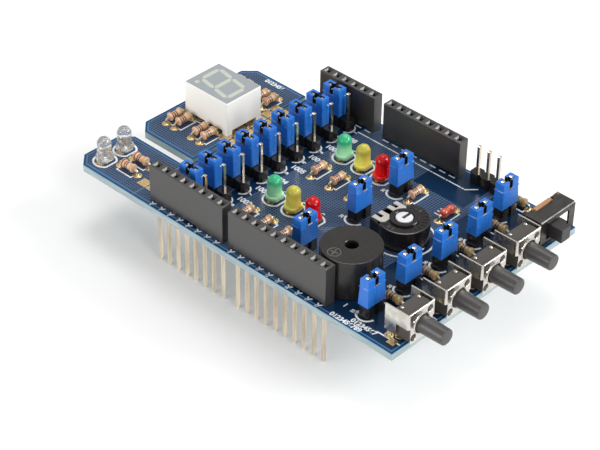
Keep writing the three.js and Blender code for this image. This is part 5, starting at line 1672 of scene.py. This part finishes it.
# The white print on the mask: outlines of the parts, plain numbers by the sockets and jumpers, and a
# dash-dot line. It is a screened ink, a little raised, and goes on before any part is fitted.
INK_RISE = 0.02 * MM
INK_LINE = 0.31 * MM
INK_RING = 0.42 * MM
INK_NUMBER = 1.5 * MM
INK_LABEL = 1.75 * MM
INK_SMALL = 1.0 * MM
INK_TINY = 0.8 * MM
INK_WEIGHT = 1 / 24
INK_WHITE = (0.92, 0.94, 0.95)
INK_WORN = (0.76, 0.81, 0.84)
LAMP_RING = 2.36 * MM
LAMP_NUMBER_REACH = 3.2 * MM
JUMPER_RING = 1.95 * MM
JUMPER_NUMBER_DROP = 0.9 * PITCH
ROW_RING = 0.62 * PITCH
ROW_NUMBER_REACH = 0.85 * PITCH
ROW_LABEL_REACH = 1.2 * PITCH
FIRST_NUMBERS = {"socket_header_near_8": 0, "socket_header_near_10": 8}
TICK_Y = 1.32 * MM
TICK_REACH = 0.45 * MM
TICK_NUMBER_DROP = 1.8 * TICK_REACH
TRIM_RING = 6.2 * MM
FRAME_RETURN = 0.9 * MM
BUTTON_LINE = 4.3 * MM
TRACK_WIDTH = 0.25 * MM
TRACK_BLUE = (0.11, 0.16, 0.24)
TRACK_FIRST = Vector((28.3, 15.3)) * MM
TRACK_PITCH = 0.75 * MM
TRACK_REACH = 3.0 * MM
SCORE_X = -5.25 * MM
DASH_ROW = 45.1 * MM
DASH_FIRST = 11.6 * MM
DASH_PITCH = 4.1 * MM
DASH_COUNT = 7
DASH = 2.9 * MM
DOT_GAP = 0.55 * MM
NUMBER_ROWS = (  # the figures and their middle in X and Y, in millimetres
    ("0123456", -13.2, 45.7), ("01234567", 54.8, -0.45), ("0123456789", 51.5, -1.75), ("1", 48.2, 1.75),
    ("2", 51.2, 1.75))

ink = bmesh.new()
tracks = bmesh.new()


def stroke(bm, points, width=INK_LINE, high=INK_RISE):
    """A line of ink or copper through the points, mitred, with square ends unless it closes."""
    points = [Vector(point) for point in points]
    steps = [(b - a).normalized() for a, b in zip(points, points[1:])]
    if (points[0] - points[-1]).length > width / 10:
        points[0] = points[0] - steps[0] * width / 2
        points[-1] = points[-1] + steps[-1] * width / 2
    right, left = [], []
    for i, point in enumerate(points):
        before, after = steps[max(i - 1, 0)], steps[min(i, len(steps) - 1)]
        across = Vector((-before.y - after.y, before.x + after.x)).normalized()
        reach = across * width / 2 / across.dot(Vector((-after.y, after.x)))
        right.append(tuple(point - reach))
        left.append(tuple(point + reach))
    join(bm, prism(right + left[::-1], 0, high))


def arc(x, y, radius, start, end, steps=16, closed=False):
    turns = [math.radians(start + (end - start) * i / steps) for i in range(steps + 1)]
    points = [Vector((x + radius * math.cos(t), y + radius * math.sin(t))) for t in turns]
    chord = [(points[0] + points[-1]) / 2] if closed else []
    stroke(ink, chord + points + chord, INK_RING)


def axial_frame(x, y, turn, radius):
    """Three sides of a frame round a resistor or the diode."""
    reach, side = RESISTOR_SPAN / 2 - PAD_RADIUS / 2, radius + PAD_RADIUS / 2
    corners = [(-reach, FRAME_RETURN - side), (-reach, -side), (reach, -side), (reach, FRAME_RETURN - side)]
    stroke(ink, [(at(x, y, 0, turn) @ Vector((*corner, 0))).xy for corner in corners])


def print_number(text, x, y, size, turn=0.0):
    """Plain figures printed about a point."""
    curve = bpy.data.curves.new("figures", "FONT")
    curve.body = text
    curve.size = size
    curve.align_x, curve.align_y = "CENTER", "CENTER"
    curve.extrude = INK_RISE / 2
    curve.offset = size * INK_WEIGHT
    figures = bpy.data.objects.new("figures", curve)
    mesh = bpy.data.meshes.new_from_object(figures)
    bm = bmesh.new()
    bm.from_mesh(mesh)
    join(ink, bm, at(x, y, INK_RISE / 2, turn))
    bpy.data.objects.remove(figures)
    bpy.data.curves.remove(curve)
    bpy.data.meshes.remove(mesh)


for node, count in STRIPS.items():
    for i in range(count):
        x = node_start(node)[0] + i * PITCH
        if node in FIRST_NUMBERS:
            text = str(FIRST_NUMBERS[node] + i)
            stroke(ink, [(x - TICK_REACH, -TICK_Y), (x, -TICK_Y - TICK_REACH), (x + TICK_REACH, -TICK_Y)])
            print_number(text, x - TICK_REACH / 2, -TICK_Y - TICK_NUMBER_DROP, INK_TINY)
        else:
            y = ROW_SPACING - STRIP_WIDTH / 2 - INK_LINE
            stroke(ink, [(x - PITCH / 4, y), (x + PITCH / 4, y)])

for i in range(1, 10):
    x, y = node_start(f"row_header_{i}")
    x += 2 * PITCH
    arc(x, y, ROW_RING, -70, 70)
    print_number(str(10 - i), x + ROW_NUMBER_REACH, y, INK_NUMBER, 90)
    if i < 9:
        print_number(str(1000 + i), x + ROW_LABEL_REACH, y + PITCH, INK_LABEL)

for node, tint in lamps:
    x, y = lamp_start(node)
    arc(x, y, LAMP_RING, 35, 325, 30, True)
    if tint in LAMP_TINTS:
        print_number(str(1 + list(LAMP_TINTS).index(tint)), x, y + LAMP_NUMBER_REACH, INK_SMALL, 90)

for x, y, turn, finish in resistor_places:
    axial_frame(x, y, turn, RESISTOR_CAP)
x, y = DIODE_PLACE
axial_frame(x, y, 90, DIODE_RADIUS)
x -= DIODE_RADIUS + PAD_RADIUS / 2
for rise in (-PAD_RADIUS, 0, PAD_RADIUS):
    stroke(ink, [(x, y + rise), (x - FRAME_RETURN, y + rise)])

for row, i in jumpers:
    middle = middle_of(f"{row}_shunt_{i}")
    arc(middle.x, middle.y - PITCH / 2, JUMPER_RING, 195, 345)
    print_number(str(10 * i), middle.x - PITCH, middle.y - JUMPER_NUMBER_DROP, INK_SMALL, 90)
for number in range(1, 5):
    node = f"button_bracket_{number}"
    x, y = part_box(node)[0].x - ORIGIN.x - PAD_RADIUS, middle_of(node).y - BUTTON_LINE
    stroke(ink, [(x, y), (BOARD_RIGHT - BARE_BORDER - SOLID_BORDER, y)])

half_x, half_y = DISPLAY_LENGTH / 2 + INK_LINE, DISPLAY_WIDTH / 2 + INK_LINE
x, y = display_place.xy
corners = rectangle(x - half_x, y - half_y, x + half_x, y + half_y)
start = (x, corners[0][1])
stroke(ink, [start, *corners[1:], corners[0], start])
arc(*trimmer_place, TRIM_RING, 0, 360, 48)
for i in range(DASH_COUNT):
    x = DASH_FIRST + DASH_PITCH * i
    stroke(ink, [(x, DASH_ROW), (x + DASH, DASH_ROW)])
    x += DASH + DOT_GAP
    stroke(ink, [(x, DASH_ROW), (x + INK_LINE / 2, DASH_ROW)])
x = DASH_FIRST + DASH_PITCH * DASH_COUNT
stroke(ink, [(x, DASH_ROW), (x + 2 * FRAME_RETURN, DASH_ROW + 2 * FRAME_RETURN)])
for text, x, y in NUMBER_ROWS:
    print_number(text, x * MM, y * MM, INK_NUMBER)

for i in range(4):
    start = TRACK_FIRST + Vector((TRACK_PITCH * i, 0))
    stroke(tracks, [start, start + Vector((TRACK_REACH, TRACK_REACH))], TRACK_WIDTH, INK_RISE / 2)
score = [(SCORE_X, near_edge + SOLID_BORDER), (SCORE_X, finger_far - SOLID_BORDER)]
stroke(tracks, score, TRACK_WIDTH, INK_RISE / 2)

ink_white = lacquer("ink_white", INK_WHITE, INK_WORN)
track_mask = lacquer("track_mask", TRACK_BLUE, MASK_OVER_COPPER)
make_piece("printed_marks", ink, [ink_white])
make_piece("surface_tracks", tracks, [track_mask])

make_piece("pads", pads_above, [gold_pad])
make_piece("solder_joints", joints_below, [solder_metal])
